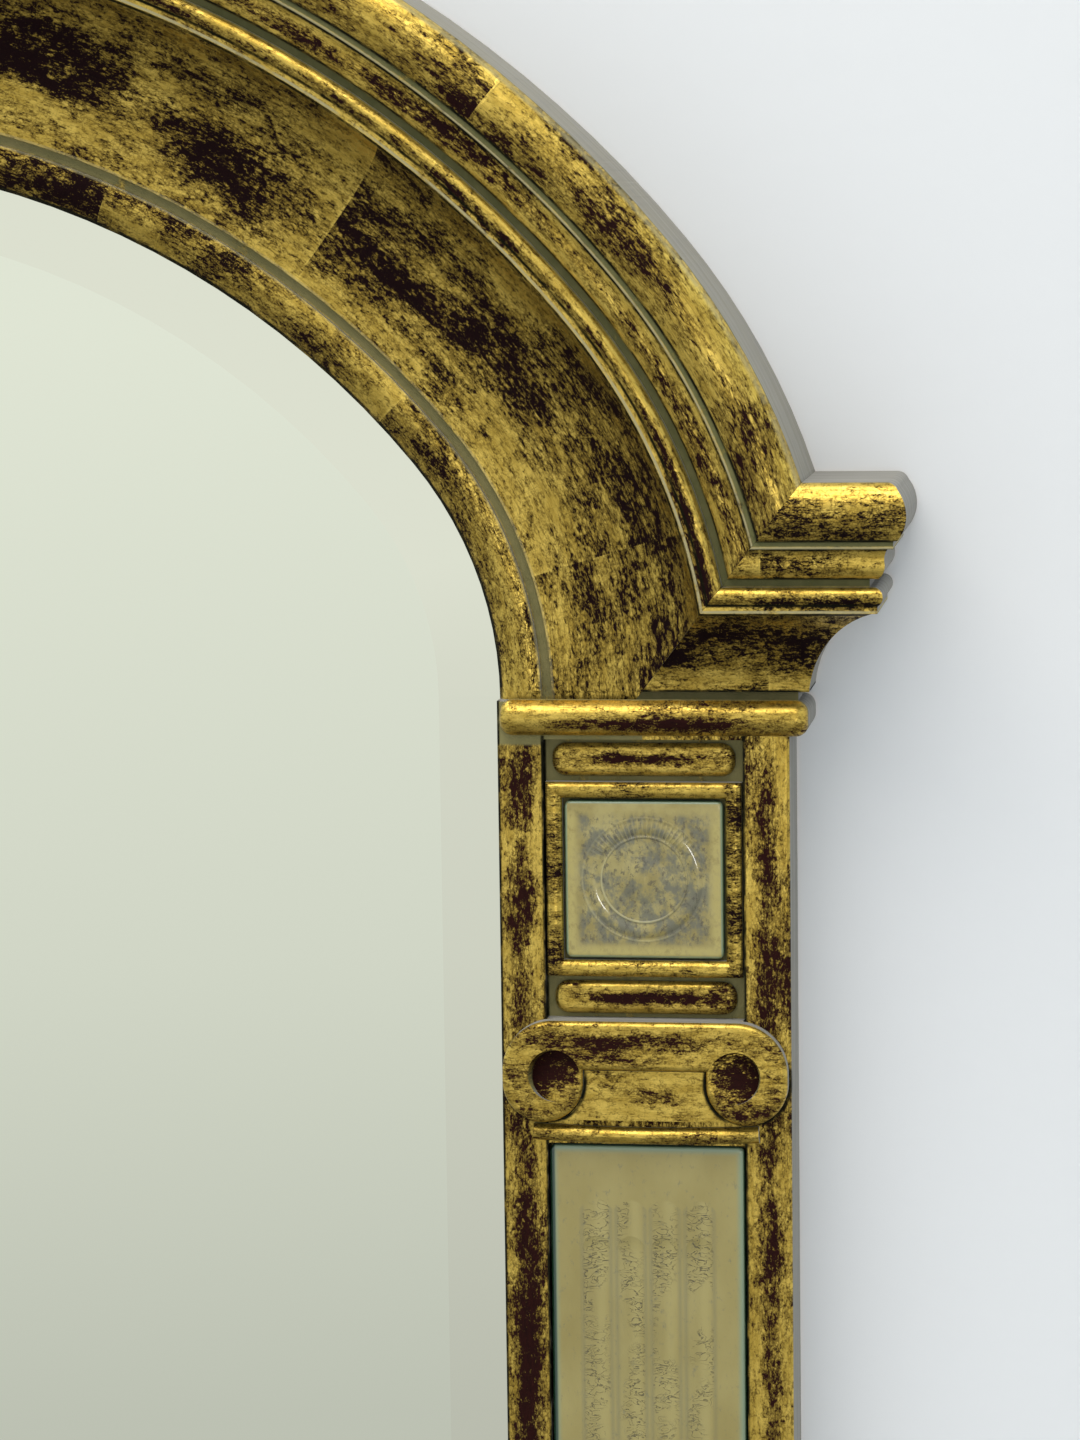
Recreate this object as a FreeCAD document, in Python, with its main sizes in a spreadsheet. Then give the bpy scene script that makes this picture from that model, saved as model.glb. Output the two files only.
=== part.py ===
import FreeCAD, Part
import math
import os
import Sketcher
from FreeCAD import Placement, Rotation, Vector

# An arched wall mirror in a gilded frame: a three-centred arch on two pilasters with glass panels.
# Millimetres. X runs to the viewer's right, Z up, and the wall is the plane Y = 0 with the front at -Y.
# "Off" in a name is a height off the wall. The origin lies midway between the two wall hangers.

SIZES = {
    # Frame as a whole
    "sight_half": 286.5,
    "haunch_radius": 144.0,
    "haunch_turn": 39.246,
    "spring_rise": 60.0,
    "stile_width": 113.0,
    "stile_off": 34.0,
    "stile_round": 1.5,
    "cut_overrun": 3.0,
    "glue_gap": 0.1,
    "round_end_share": 0.9,
    # Rebates behind the sight edge, for glass, board and turn buttons
    "rebate_width": 10.0,
    "rebate_off": 19.0,
    "button_rebate_width": 36.0,
    "seat_gap": 0.2,
    # Sight band, groove and cove of the arch rail
    "sight_lip_off": 24.0,
    "sight_band_width": 16.8,
    "sight_band_off": 29.5,
    "sight_band_bend": 14.0,
    "groove_width": 4.2,
    "groove_off": 26.5,
    "cove_edge_off": 29.0,
    "cove_flat_width": 31.0,
    "cove_low_off": 31.5,
    "cove_flat_bend": 150.0,
    "cove_width": 32.8,
    "cove_top_off": 58.0,
    "cove_bend": 38.0,
    "tongue_width": 20.0,
    "tongue_off": 40.0,
    # Crown moulding, from its inner edge to its outer edge
    "fillet_width": 2.9,
    "fillet_off": 59.5,
    "bead_width": 7.0,
    "bead_bend": 3.7,
    "bead_foot_off": 58.5,
    "quirk_width": 3.3,
    "quirk_off": 56.5,
    "band_foot_off": 60.0,
    "band_swell_width": 6.2,
    "band_swell_off": 62.4,
    "band_swell_bend": 6.5,
    "band_hollow_width": 5.3,
    "band_hollow_off": 63.6,
    "band_hollow_bend": 7.0,
    "step_width": 3.2,
    "step_off": 65.8,
    "ovolo_foot_off": 67.4,
    "ovolo_width": 18.6,
    "ovolo_top_off": 67.8,
    "ovolo_bend": 14.5,
    "edge_round_width": 3.0,
    "edge_round_drop": 4.4,
    "edge_round_bend": 4.6,
    # Cornice return
    "foot_quirk_height": 3.7,
    "foot_quirk_off": 27.0,
    "end_flush_off": 24.0,
    # Astragal under the cornice
    "astragal_radius": 7.0,
    "astragal_rise": 1.0,
    "astragal_overhang": 7.5,
    "astragal_inset": 1.5,
    "astragal_end_round": 5.0,
    # Sunk panels of the pilaster
    "margin_width": 17.7,
    "panel_depth": 5.0,
    "panel_round": 1.0,
    "capital_panel_drop": 14.6,
    "capital_panel_height": 109.2,
    "bar_width": 71.0,
    "bar_height": 13.0,
    "bar_thickness": 3.8,
    "bar_corner": 5.6,
    "bar_crown": 3.2,
    "bar_inset": 1.6,
    "bezel_width": 76.0,
    "bezel_border": 6.4,
    "bezel_thickness": 6.0,
    "bezel_outer_round": 2.4,
    "bezel_inner_round": 3.2,
    "tile_gap": 0.6,
    "tile_thickness": 4.2,
    "tile_corner": 3.2,
    "tile_edge_round": 2.0,
    "ring_radius": 20.3,
    "ring_width": 7.4,
    "ring_height": 0.5,
    "lens_radius": 14.0,
    "lens_height": 0.5,
    "relief_bite": 0.6,
    # Scroll capital, echinus and neck bar
    "scroll_drop": 123.8,
    "scroll_waist": 4.2,
    "scroll_corner": 20.0,
    "scroll_width": 111.0,
    "scroll_thickness": 7.0,
    "scroll_band": 19.2,
    "volute_radius": 15.8,
    "scroll_round": 2.4,
    "eye_radius": 10.0,
    "eye_side": 34.4,
    "eye_drop": 21.9,
    "eye_middle_depth": 3.0,
    "eye_tilt": 16.0,
    "echinus_thickness": 4.4,
    "echinus_foot_width": 67.0,
    "echinus_gap": 0.3,
    "neck_drop": 165.0,
    "neck_width": 88.0,
    "neck_height": 6.6,
    "neck_thickness": 4.2,
    "neck_sag": 1.2,
    "neck_bend": 3.9,
    # Shaft of pressed glass
    "shaft_drop": 173.0,
    "shaft_height": 440.0,
    "shaft_thickness": 4.4,
    "shaft_gap": 0.5,
    "shaft_corner": 3.2,
    "shaft_edge_round": 2.0,
    "flute_pitch": 13.5,
    "flute_bend": 20.0,
    "flute_depth": 0.8,
    "flute_margin": 22.0,
    # Column base and plinth
    "base_bar_radius": 3.6,
    "base_bar_inset": 6.0,
    "base_bar_end_round": 2.6,
    "base_gap": 0.6,
    "base_torus_radius": 7.0,
    "plinth_gap": 2.0,
    "stile_foot_height": 4.6,
    "sight_foot_rise": 111.5,
    # Base moulding
    "base_height": 34.0,
    "base_plinth_height": 15.0,
    "base_plinth_off": 52.0,
    "base_step_off": 49.0,
    "base_step_height": 2.4,
    "base_hollow_bend": 17.0,
    "base_top_off": 37.5,
    "base_edge_round": 2.0,
    "field_off": 32.0,
    "field_bend": 400.0,
    # Mirror plate and backing board
    "glass_thickness": 5.0,
    "glass_lap": 8.0,
    "bevel_width": 25.0,
    "bevel_drop": 2.4,
    "board_thickness": 4.0,
    "board_lap": 9.0,
    # Turn buttons and their screws
    "button_radius": 6.0,
    "button_reach": 20.0,
    "button_thickness": 1.5,
    "button_gap": 0.2,
    "button_bore": 1.9,
    "button_share": 0.22,
    "arch_button_angle": 62.0,
    "foot_button_side": 150.0,
    "screw_radius": 1.7,
    "screw_head_radius": 3.6,
    "screw_head_height": 2.0,
    "screw_length": 11.0,
    "screw_fit": 0.05,
    # Keyhole hanger plates
    "hanger_inset": 49.5,
    "hanger_width": 24.0,
    "hanger_height": 58.0,
    "hanger_lift": 6.0,
    "hanger_thickness": 1.5,
    "hanger_corner": 4.0,
    "hanger_fit": 0.15,
    "keyhole_radius": 5.0,
    "keyhole_slot_radius": 2.5,
    "keyhole_slot_rise": 13.0,
    "keyhole_pocket_depth": 11.0,
    "keyhole_pocket_radius": 7.5,
    "hanger_screw_inset": 5.0,
    "hanger_screw_length": 14.0,
    "hanger_screw_head_radius": 3.2,
    # Dowels
    "dowel_radius": 4.0,
    "dowel_length": 36.0,
    "dowel_fit": 0.05,
    "dowel_end_gap": 1.0,
    "dowel_off": 14.0,
    "arch_dowel_inset": 21.0,
    "arch_dowel_off": 17.8,
    "return_dowel_inset": 30.0,
    "stile_dowel_inset": 28.0,
    "rail_dowel_inset": 28.0,
}

FLUTE_COUNT = 4
QUARTER_TURN = 90
HALF_TURN = 180
FULL_TURN = 360
LEVEL_TOLERANCE = 1e-4
UPRIGHT = Rotation()
TO_FRONT = Rotation(Vector(1, 0, 0), QUARTER_TURN)
TO_RIGHT = Rotation(Vector(0, 1, 0), QUARTER_TURN)
NODES = []

doc = FreeCAD.newDocument("ArchedMirror")
sheet = doc.addObject("Spreadsheet::Sheet", "Sizes")
for row, (alias, value) in enumerate(SIZES.items(), 1):
    sheet.set(f"A{row}", alias)
    sheet.set(f"B{row}", str(value))
    sheet.setAlias(f"B{row}", alias)
doc.recompute()


# Sizes that carry their formula


class Size:
    """A size with its number and the sheet formula that gives it."""

    def __init__(self, number, formula):
        self.number = number
        self.formula = formula

    def __add__(self, other):
        other = as_size(other)
        return Size(self.number + other.number, f"({self.formula} + {other.formula})")

    def __sub__(self, other):
        other = as_size(other)
        return Size(self.number - other.number, f"({self.formula} - {other.formula})")

    def __mul__(self, other):
        other = as_size(other)
        return Size(self.number * other.number, f"({self.formula} * {other.formula})")

    def __truediv__(self, other):
        other = as_size(other)
        return Size(self.number / other.number, f"({self.formula} / {other.formula})")

    def __neg__(self):
        return self if self is ZERO else Size(-self.number, f"(0 - {self.formula})")

    def root(self):
        return Size(math.sqrt(self.number), f"sqrt({self.formula})")

    def cosine(self):
        return Size(math.cos(math.radians(self.number)), f"cos({self.formula})")

    def sine(self):
        return Size(math.sin(math.radians(self.number)), f"sin({self.formula})")


def as_size(value):
    return value if isinstance(value, Size) else Size(float(value), str(value))


def size(alias):
    return Size(float(sheet.get(alias)), f"Sizes.{alias}")


ZERO = as_size(0)


# Sketches and features


def new_body(label):
    body = doc.addObject("PartDesign::Body", label)
    body.Label = label
    return body


def origin_item(body, role):
    return next(item for item in body.Origin.OriginFeatures if item.Role == role)


def new_sketch(body, plane, name, lift=ZERO):
    """A sketch on one of the body's own planes, lifted along the plane's normal."""
    sketch = body.newObject("Sketcher::SketchObject", name)
    sketch.AttachmentSupport = [(origin_item(body, plane), "")]
    sketch.MapMode = "FlatFace"
    sketch.AttachmentOffset = Placement(Vector(0, 0, lift.number), Rotation())
    sketch.setExpression("AttachmentOffset.Base.z", lift.formula)
    return sketch


def bind(sketch, kind, where, value):
    index = sketch.addConstraint(Sketcher.Constraint(kind, *where, value.number))
    sketch.setExpression(f"Constraints[{index}]", value.formula)


def pin(sketch, geometry, point, across, up):
    """Fixes a point of the sketch at a place measured from the sketch's origin."""
    for kind, axis, value in (("DistanceX", -2, across), ("DistanceY", -1, up)):
        if value is ZERO:
            sketch.addConstraint(Sketcher.Constraint("PointOnObject", geometry, point, axis))
        else:
            bind(sketch, kind, (-1, 1, geometry, point), value)


def arc_through(start, stop, bend):
    """The short arc of a radius from start to stop, turning left."""
    chord = stop - start
    half = chord.Length / 2
    left = Vector(-chord.y, chord.x, 0).normalize()
    rise = bend - math.sqrt(max(bend * bend - half * half, 0))
    return Part.Arc(start, (start + stop) / 2 - left * rise, stop)


def draw(sketch, corners):
    """Draws a closed outline through corners (across, up), or (across, up, bend) where an arc arrives.

    An arc with a positive bend turns left on its way to the corner, and a negative one turns right.
    """
    spots = [Vector(corner[0].number, corner[1].number, 0) for corner in corners]
    edges = []
    for number, corner in enumerate(corners):
        start = spots[number - 1]
        stop = spots[number]
        if len(corner) == 2:
            edges.append((sketch.addGeometry(Part.LineSegment(start, stop), False), 1, 2))
        elif corner[2].number > 0:
            edges.append((sketch.addGeometry(arc_through(start, stop, corner[2].number), False), 1, 2))
        else:
            edges.append((sketch.addGeometry(arc_through(stop, start, -corner[2].number), False), 2, 1))
    for number, corner in enumerate(corners):
        edge, first, last = edges[number]
        follower = edges[(number + 1) % len(corners)]
        sketch.addConstraint(Sketcher.Constraint("Coincident", edge, last, follower[0], follower[1]))
        pin(sketch, edge, last, corner[0], corner[1])
        if len(corner) == 3:
            bend = corner[2] if corner[2].number > 0 else -corner[2]
            bind(sketch, "Radius", (edge,), bend)


def draw_circle(sketch, across, up, radius):
    centre = Vector(across.number, up.number, 0)
    edge = sketch.addGeometry(Part.Circle(centre, Vector(0, 0, 1), radius.number), False)
    pin(sketch, edge, 3, across, up)
    bind(sketch, "Radius", (edge,), radius)


def rectangle(left, low, right, high):
    return [(left, low), (right, low), (right, high), (left, high)]


def soft_rectangle(left, low, right, high, corner):
    """A rectangle with rounded corners."""
    return [
        (left + corner, low),
        (right - corner, low),
        (right, low + corner, corner),
        (right, high - corner),
        (right - corner, high, corner),
        (left + corner, high),
        (left, high - corner, corner),
        (left, low + corner),
        (left + corner, low, corner),
    ][1:]


def feature(body, kind, name, **settings):
    item = body.newObject(f"PartDesign::{kind}", name)
    for key, value in settings.items():
        if isinstance(value, Size):
            setattr(item, key, value.number)
            item.setExpression(key, value.formula)
        else:
            setattr(item, key, value)
    doc.recompute()
    return item


def pad(body, sketch, length, **settings):
    return feature(body, "Pad", "Pad", Profile=sketch, Length=length, **settings)


def pocket(body, sketch, depth=None, reverse=False):
    """Cuts a sketch into the body, against the sketch's normal, or along it where reversed.

    With no depth it cuts right through.
    """
    before = body.Shape.Volume
    settings = {"Length": depth} if depth else {"Type": "ThroughAll"}
    item = feature(body, "Pocket", "Pocket", Profile=sketch, Reversed=reverse, **settings)
    if item.Shape.Volume >= before:
        raise RuntimeError(f"{item.Name} of {body.Label} cuts nothing")
    return item


def add_axis(sketch, start, stop):
    """A construction line between two places, which a revolution turns about."""
    line = Part.LineSegment(
        Vector(start[0].number, start[1].number, 0),
        Vector(stop[0].number, stop[1].number, 0),
    )
    edge = sketch.addGeometry(line, True)
    pin(sketch, edge, 1, *start)
    pin(sketch, edge, 2, *stop)


def front_edges(shape, off):
    """Names of the edges that lie in the plane at a height off the wall."""
    names = []
    for number, edge in enumerate(shape.Edges, 1):
        box = edge.BoundBox
        if max(abs(box.YMin + off.number), abs(box.YMax + off.number)) < LEVEL_TOLERANCE:
            names.append(f"Edge{number}")
    return names


def round_front(body, off, radius):
    base = body.Tip
    feature(body, "Fillet", "Round", Base=(base, front_edges(base.Shape, off)), Radius=radius)


def mirror_piece(label, source):
    """The left-hand twin of a right-hand piece."""
    twin = doc.addObject("Part::Mirroring", label)
    twin.Label = label
    twin.Source = source
    twin.Normal = Vector(1, 0, 0)
    return twin


def place(item, across, off, up):
    """Moves an object to a place on the frame."""
    item.Placement.Base = Vector(across.number, -off.number, up.number)
    item.setExpression("Placement.Base.x", across.formula)
    item.setExpression("Placement.Base.y", (-off).formula)
    item.setExpression("Placement.Base.z", up.formula)


def keep(item):
    NODES.append(item)
    return item


def keep_pair(name, body):
    """Keeps a right-hand piece and its left-hand twin."""
    keep(body)
    keep(mirror_piece(f"{name}_left", body))


# Places that several pieces share

sight_half = size("sight_half")
spring = size("spring_rise")
stile_off = size("stile_off")
stile_inner = sight_half
stile_outer = sight_half + size("stile_width")
stile_middle = sight_half + size("stile_width") / 2
overrun = size("cut_overrun")

haunch_radius = size("haunch_radius")
haunch_across = sight_half - haunch_radius
haunch_turn = size("haunch_turn")
radius_gap = haunch_across / haunch_turn.cosine()
centre_drop = radius_gap * haunch_turn.sine()
crown_radius = haunch_radius + radius_gap
crown_centre = spring - centre_drop

cove_start = size("sight_band_width") + size("groove_width")
cove_turn = cove_start + size("cove_flat_width")
crown_start = cove_turn + size("cove_width")
tongue_end = crown_start + size("tongue_width")

crown_steps = ["fillet", "bead", "quirk", "band_swell", "band_hollow", "step", "ovolo", "edge_round"]
crown_width = ZERO
for step in crown_steps:
    crown_width = crown_width + size(f"{step}_width")
crown_rise = size("foot_quirk_height") + size("cove_width")

ledge_off = (
    size("rebate_off") - size("glass_thickness") - size("board_thickness") - size("seat_gap") * 2
)

panel_off = stile_off - size("panel_depth")
panel_inner = stile_inner + size("margin_width")
panel_outer = stile_outer - size("margin_width")
capital_panel_top = spring - size("capital_panel_drop")
shaft_top = spring - size("shaft_drop")
shaft_foot = shaft_top - size("shaft_height")
base_bar_up = shaft_foot - size("base_gap") - size("base_bar_radius")
base_torus_up = base_bar_up - size("base_bar_radius") - size("base_gap") - size("base_torus_radius")
plinth_panel_top = base_torus_up - size("base_torus_radius") - size("plinth_gap")
stile_foot = plinth_panel_top - size("capital_panel_height") - size("stile_foot_height")
sight_foot = stile_foot + size("sight_foot_rise")
base_foot = stile_foot - size("base_height")


# Mouldings


def crown_run(start):
    """The crown moulding's front as (distance, height off the wall, bend) from its inner edge outwards."""
    at = start
    run = [(at, size("fillet_off"))]
    at = at + size("fillet_width")
    run.append((at, size("fillet_off")))
    at = at + size("bead_width")
    run.append((at, size("bead_foot_off"), -size("bead_bend")))
    run.append((at, size("quirk_off")))
    at = at + size("quirk_width")
    run.append((at, size("quirk_off")))
    run.append((at, size("band_foot_off")))
    at = at + size("band_swell_width")
    run.append((at, size("band_swell_off"), -size("band_swell_bend")))
    at = at + size("band_hollow_width")
    run.append((at, size("band_hollow_off"), size("band_hollow_bend")))
    run.append((at, size("step_off")))
    at = at + size("step_width")
    run.append((at, size("step_off")))
    run.append((at, size("ovolo_foot_off")))
    at = at + size("ovolo_width")
    run.append((at, size("ovolo_top_off"), -size("ovolo_bend")))
    at = at + size("edge_round_width")
    edge_off = size("ovolo_top_off") - size("edge_round_drop")
    run.append((at, edge_off, -size("edge_round_bend")))
    return run


def sight_run():
    """Sight band and groove, from the sight edge to the start of the field."""
    return [
        (ZERO, size("sight_lip_off")),
        (size("sight_band_width"), size("sight_band_off"), -size("sight_band_bend")),
        (size("sight_band_width"), size("groove_off")),
        (cove_start, size("groove_off")),
        (cove_start, size("cove_edge_off")),
    ]


def rebate_run():
    """The stepped back edge behind the sight edge, from the outer back corner inwards."""
    return [
        (size("button_rebate_width"), ZERO),
        (size("button_rebate_width"), ledge_off),
        (size("rebate_width"), ledge_off),
        (size("rebate_width"), size("rebate_off")),
        (ZERO, size("rebate_off")),
    ]


def laid(run, place_at, flip=False):
    """Lays a run of (distance, off, bend) into a sketch. Flip says that the sketch sees it reversed."""
    corners = []
    for corner in run:
        spot = place_at(corner[0], corner[1])
        if len(corner) == 3:
            spot = (*spot, -corner[2] if flip else corner[2])
        corners.append(spot)
    return corners


arch_rail_run = (
    sight_run()
    + [
        (cove_turn, size("cove_low_off"), size("cove_flat_bend")),
        (crown_start, size("cove_top_off"), size("cove_bend")),
        (crown_start, size("tongue_off")),
        (tongue_end, size("tongue_off")),
        (tongue_end, ZERO),
    ]
    + rebate_run()
)
glue_gap = size("glue_gap")
arch_crown_run = crown_run(crown_start + glue_gap) + [
    (crown_start + crown_width + glue_gap, ZERO),
    (tongue_end + glue_gap, ZERO),
    (tongue_end + glue_gap, size("tongue_off") + glue_gap),
    (crown_start + glue_gap, size("tongue_off") + glue_gap),
]


crown_turn = as_size(HALF_TURN) - haunch_turn * 2


def arch_body(label, run):
    """A moulding run round the arch: a haunch on each side and the crown between them."""
    body = new_body(label)
    foot = new_sketch(body, "XY_Plane", "HaunchProfile", spring)
    draw(foot, laid(run, lambda out, off: (sight_half + out, -off), flip=True))
    add_axis(foot, (haunch_across, ZERO), (haunch_across, -stile_off))
    settings = {"Profile": foot, "ReferenceAxis": (foot, ["Axis0"]), "Angle": haunch_turn}
    haunch = feature(body, "Revolution", "Haunch", **settings)
    twin = feature(
        body,
        "Mirrored",
        "OtherHaunch",
        Originals=[haunch],
        MirrorPlane=(origin_item(body, "YZ_Plane"), [""]),
    )
    body.Tip = twin
    top = new_sketch(body, "YZ_Plane", "CrownProfile")
    draw(top, laid(run, lambda out, off: (-off, crown_centre + crown_radius + out)))
    add_axis(top, (ZERO, crown_centre), (-stile_off, crown_centre))
    settings = {"Profile": top, "ReferenceAxis": (top, ["Axis0"]), "Angle": crown_turn}
    feature(body, "Revolution", "Crown", Midplane=True, **settings)
    return body


# Mitre between the arch and the cornice return


def reach_at(out, rise):
    """How far across a moulding line of the arch stands at a height over the spring line."""
    around = haunch_radius + out
    return haunch_across + (around * around - rise * rise).root()


cornice_rise = crown_rise + crown_width
mitre_inner = reach_at(crown_start, crown_rise)
mitre_outer = reach_at(crown_start + crown_width, cornice_rise)
mitre_slope = (mitre_outer - mitre_inner) / crown_width
end_reach = stile_outer - size("end_flush_off")


def mitre_across(rise):
    return mitre_inner + (rise - crown_rise) * mitre_slope


def both_sides(corners):
    """An outline without arcs, and its twin on the other side of the middle."""
    return [corners, [(-across, up) for across, up in corners]]


def draw_both(sketch, corners):
    for outline in both_sides(corners):
        draw(sketch, outline)


def drill(body, plane, lift, spots, radius, depth, reverse):
    """Round holes of one depth, at places on a plane of the body."""
    sketch = new_sketch(body, plane, "Holes", lift)
    for across, up in spots:
        draw_circle(sketch, across, up, radius)
    pocket(body, sketch, depth, reverse)


# Dowels, turn buttons and hangers: places and bores that their neighbours share

dowel_bore = size("dowel_radius") + size("dowel_fit")
dowel_depth = size("dowel_length") / 2 + size("dowel_end_gap")
arch_dowel_across = sight_half + size("arch_dowel_inset")
return_dowel_across = stile_outer - size("return_dowel_inset")
stile_dowel_across = [stile_inner + size("stile_dowel_inset"), stile_outer - size("stile_dowel_inset")]
rail_dowel_up = [
    stile_foot + size("rail_dowel_inset"),
    sight_foot - size("button_rebate_width") - size("rail_dowel_inset"),
]

pivot_out = (size("rebate_width") + size("button_rebate_width")) / 2
pivot_across = sight_half + pivot_out
straight_run = spring - sight_foot
button_inset = straight_run * size("button_share")
stile_pivot_up = [sight_foot + button_inset, spring - button_inset]
arch_pivot_radius = crown_radius + pivot_out
arch_button_angle = size("arch_button_angle")
arch_pivot_across = arch_pivot_radius * arch_button_angle.cosine()
arch_pivot_up = crown_centre + arch_pivot_radius * arch_button_angle.sine()
foot_pivot_up = sight_foot - pivot_out
button_back = ledge_off - size("button_gap") - size("button_thickness")
screw_bore = size("screw_radius") + size("screw_fit")
screw_hole_depth = button_back + size("screw_length") + size("screw_fit") - ledge_off

hanger_across = stile_outer - size("hanger_inset")
hanger_low = size("hanger_lift") - size("hanger_height") / 2
hanger_high = size("hanger_lift") + size("hanger_height") / 2
hanger_screw_up = [hanger_low + size("hanger_screw_inset"), hanger_high - size("hanger_screw_inset")]


def hanger_outline(fit):
    """The hanger plate's outline, grown by a fit."""
    half = size("hanger_width") / 2 + fit
    corner = size("hanger_corner") + fit
    left = hanger_across - half
    right = hanger_across + half
    return soft_rectangle(left, hanger_low - fit, right, hanger_high + fit, corner)


# Arch rail and crown moulding


def trim_arch(body):
    """Cuts the arch's feet to the mitres with the cornice returns."""
    sketch = new_sketch(body, "XZ_Plane", "MitreCut")
    low = -overrun
    high = cornice_rise + overrun
    far = mitre_across(high) + crown_width
    draw_both(
        sketch,
        [
            (mitre_across(low), spring + low),
            (far, spring + low),
            (far, spring + high),
            (mitre_across(high), spring + high),
        ],
    )
    pocket(body, sketch, reverse=True)


def make_arch_rail():
    body = arch_body("arch_rail", arch_rail_run)
    trim_arch(body)
    quirk = new_sketch(body, "XZ_Plane", "FootQuirk", size("foot_quirk_off"))
    draw_both(
        quirk,
        rectangle(
            sight_half - overrun,
            spring - overrun,
            mitre_across(size("foot_quirk_height")) + overrun,
            spring + size("foot_quirk_height"),
        ),
    )
    pocket(body, quirk, reverse=True)
    spots = [(arch_dowel_across, -size("arch_dowel_off")), (-arch_dowel_across, -size("arch_dowel_off"))]
    drill(body, "XY_Plane", spring, spots, dowel_bore, dowel_depth, True)
    spots = [(arch_pivot_across, arch_pivot_up), (-arch_pivot_across, arch_pivot_up)]
    drill(body, "XZ_Plane", ledge_off, spots, screw_bore, screw_hole_depth, True)
    keep(body)


def make_arch_crown():
    body = arch_body("arch_crown_moulding", arch_crown_run)
    trim_arch(body)
    keep(body)


# Cornice returns and base moulding: runs with mitred ends


def cut_end(body, run, foot, height):
    """Cuts the right end of a horizontal run to the run's own profile, as a mitred return has it."""
    sketch = new_sketch(body, "XZ_Plane", "EndCut")
    face = laid(run, lambda rise, off: (end_reach + off, foot + rise), flip=True)
    far = end_reach + size("step_off") + crown_width
    low = foot - overrun
    high = foot + height + overrun
    draw(sketch, [(far, low), (face[0][0], low)] + face + [(face[-1][0], high), (far, high)])
    pocket(body, sketch, reverse=True)


def make_cornice_return():
    body = new_body("cornice_return_right")
    run = [
        (ZERO, size("foot_quirk_off")),
        (size("foot_quirk_height"), size("foot_quirk_off")),
        (size("foot_quirk_height"), size("cove_low_off")),
        (crown_rise, size("cove_top_off"), size("cove_bend")),
    ] + crown_run(crown_rise)
    start = mitre_across(-overrun)
    stop = end_reach + size("step_off") + size("ovolo_bend")
    sketch = new_sketch(body, "YZ_Plane", "Profile", start)
    front = laid(run, lambda rise, off: (-off, spring + rise))
    draw(sketch, front + [(ZERO, spring + cornice_rise), (ZERO, spring)])
    pad(body, sketch, stop - start)
    cut_end(body, run, spring, cornice_rise)
    mitre = new_sketch(body, "XZ_Plane", "MitreCut")
    low = -overrun
    high = cornice_rise + overrun
    draw(
        mitre,
        [
            (mitre_across(low) + glue_gap, spring + low),
            (mitre_across(high) + glue_gap, spring + high),
            (start - overrun, spring + high),
            (start - overrun, spring + low),
        ],
    )
    pocket(body, mitre, reverse=True)
    spots = [(return_dowel_across, -size("dowel_off"))]
    drill(body, "XY_Plane", spring, spots, dowel_bore, dowel_depth, True)
    keep_pair("cornice_return", body)


def make_base_moulding():
    body = new_body("base_moulding")
    step_top = size("base_plinth_height") + size("base_step_height")
    run = [
        (ZERO, size("base_plinth_off") - size("base_edge_round")),
        (size("base_edge_round"), size("base_plinth_off"), -size("base_edge_round")),
        (size("base_plinth_height"), size("base_plinth_off")),
        (size("base_plinth_height"), size("base_step_off")),
        (step_top, size("base_step_off")),
        (size("base_height"), size("base_top_off"), size("base_hollow_bend")),
    ]
    half = end_reach + size("base_plinth_off") + overrun
    sketch = new_sketch(body, "YZ_Plane", "Profile")
    front = laid(run, lambda rise, off: (-off, base_foot + rise))
    draw(sketch, front + [(ZERO, stile_foot), (ZERO, base_foot)])
    pad(body, sketch, half * 2, Midplane=True)
    cut_end(body, run, base_foot, size("base_height"))
    cut = body.Tip
    plane = (origin_item(body, "YZ_Plane"), [""])
    body.Tip = feature(body, "Mirrored", "OtherEnd", Originals=[cut], MirrorPlane=plane)
    spots = []
    for across in stile_dowel_across:
        spots += [(across, -size("dowel_off")), (-across, -size("dowel_off"))]
    drill(body, "XY_Plane", stile_foot, spots, dowel_bore, dowel_depth, False)
    keep(body)


# Stiles and bottom rail


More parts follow.
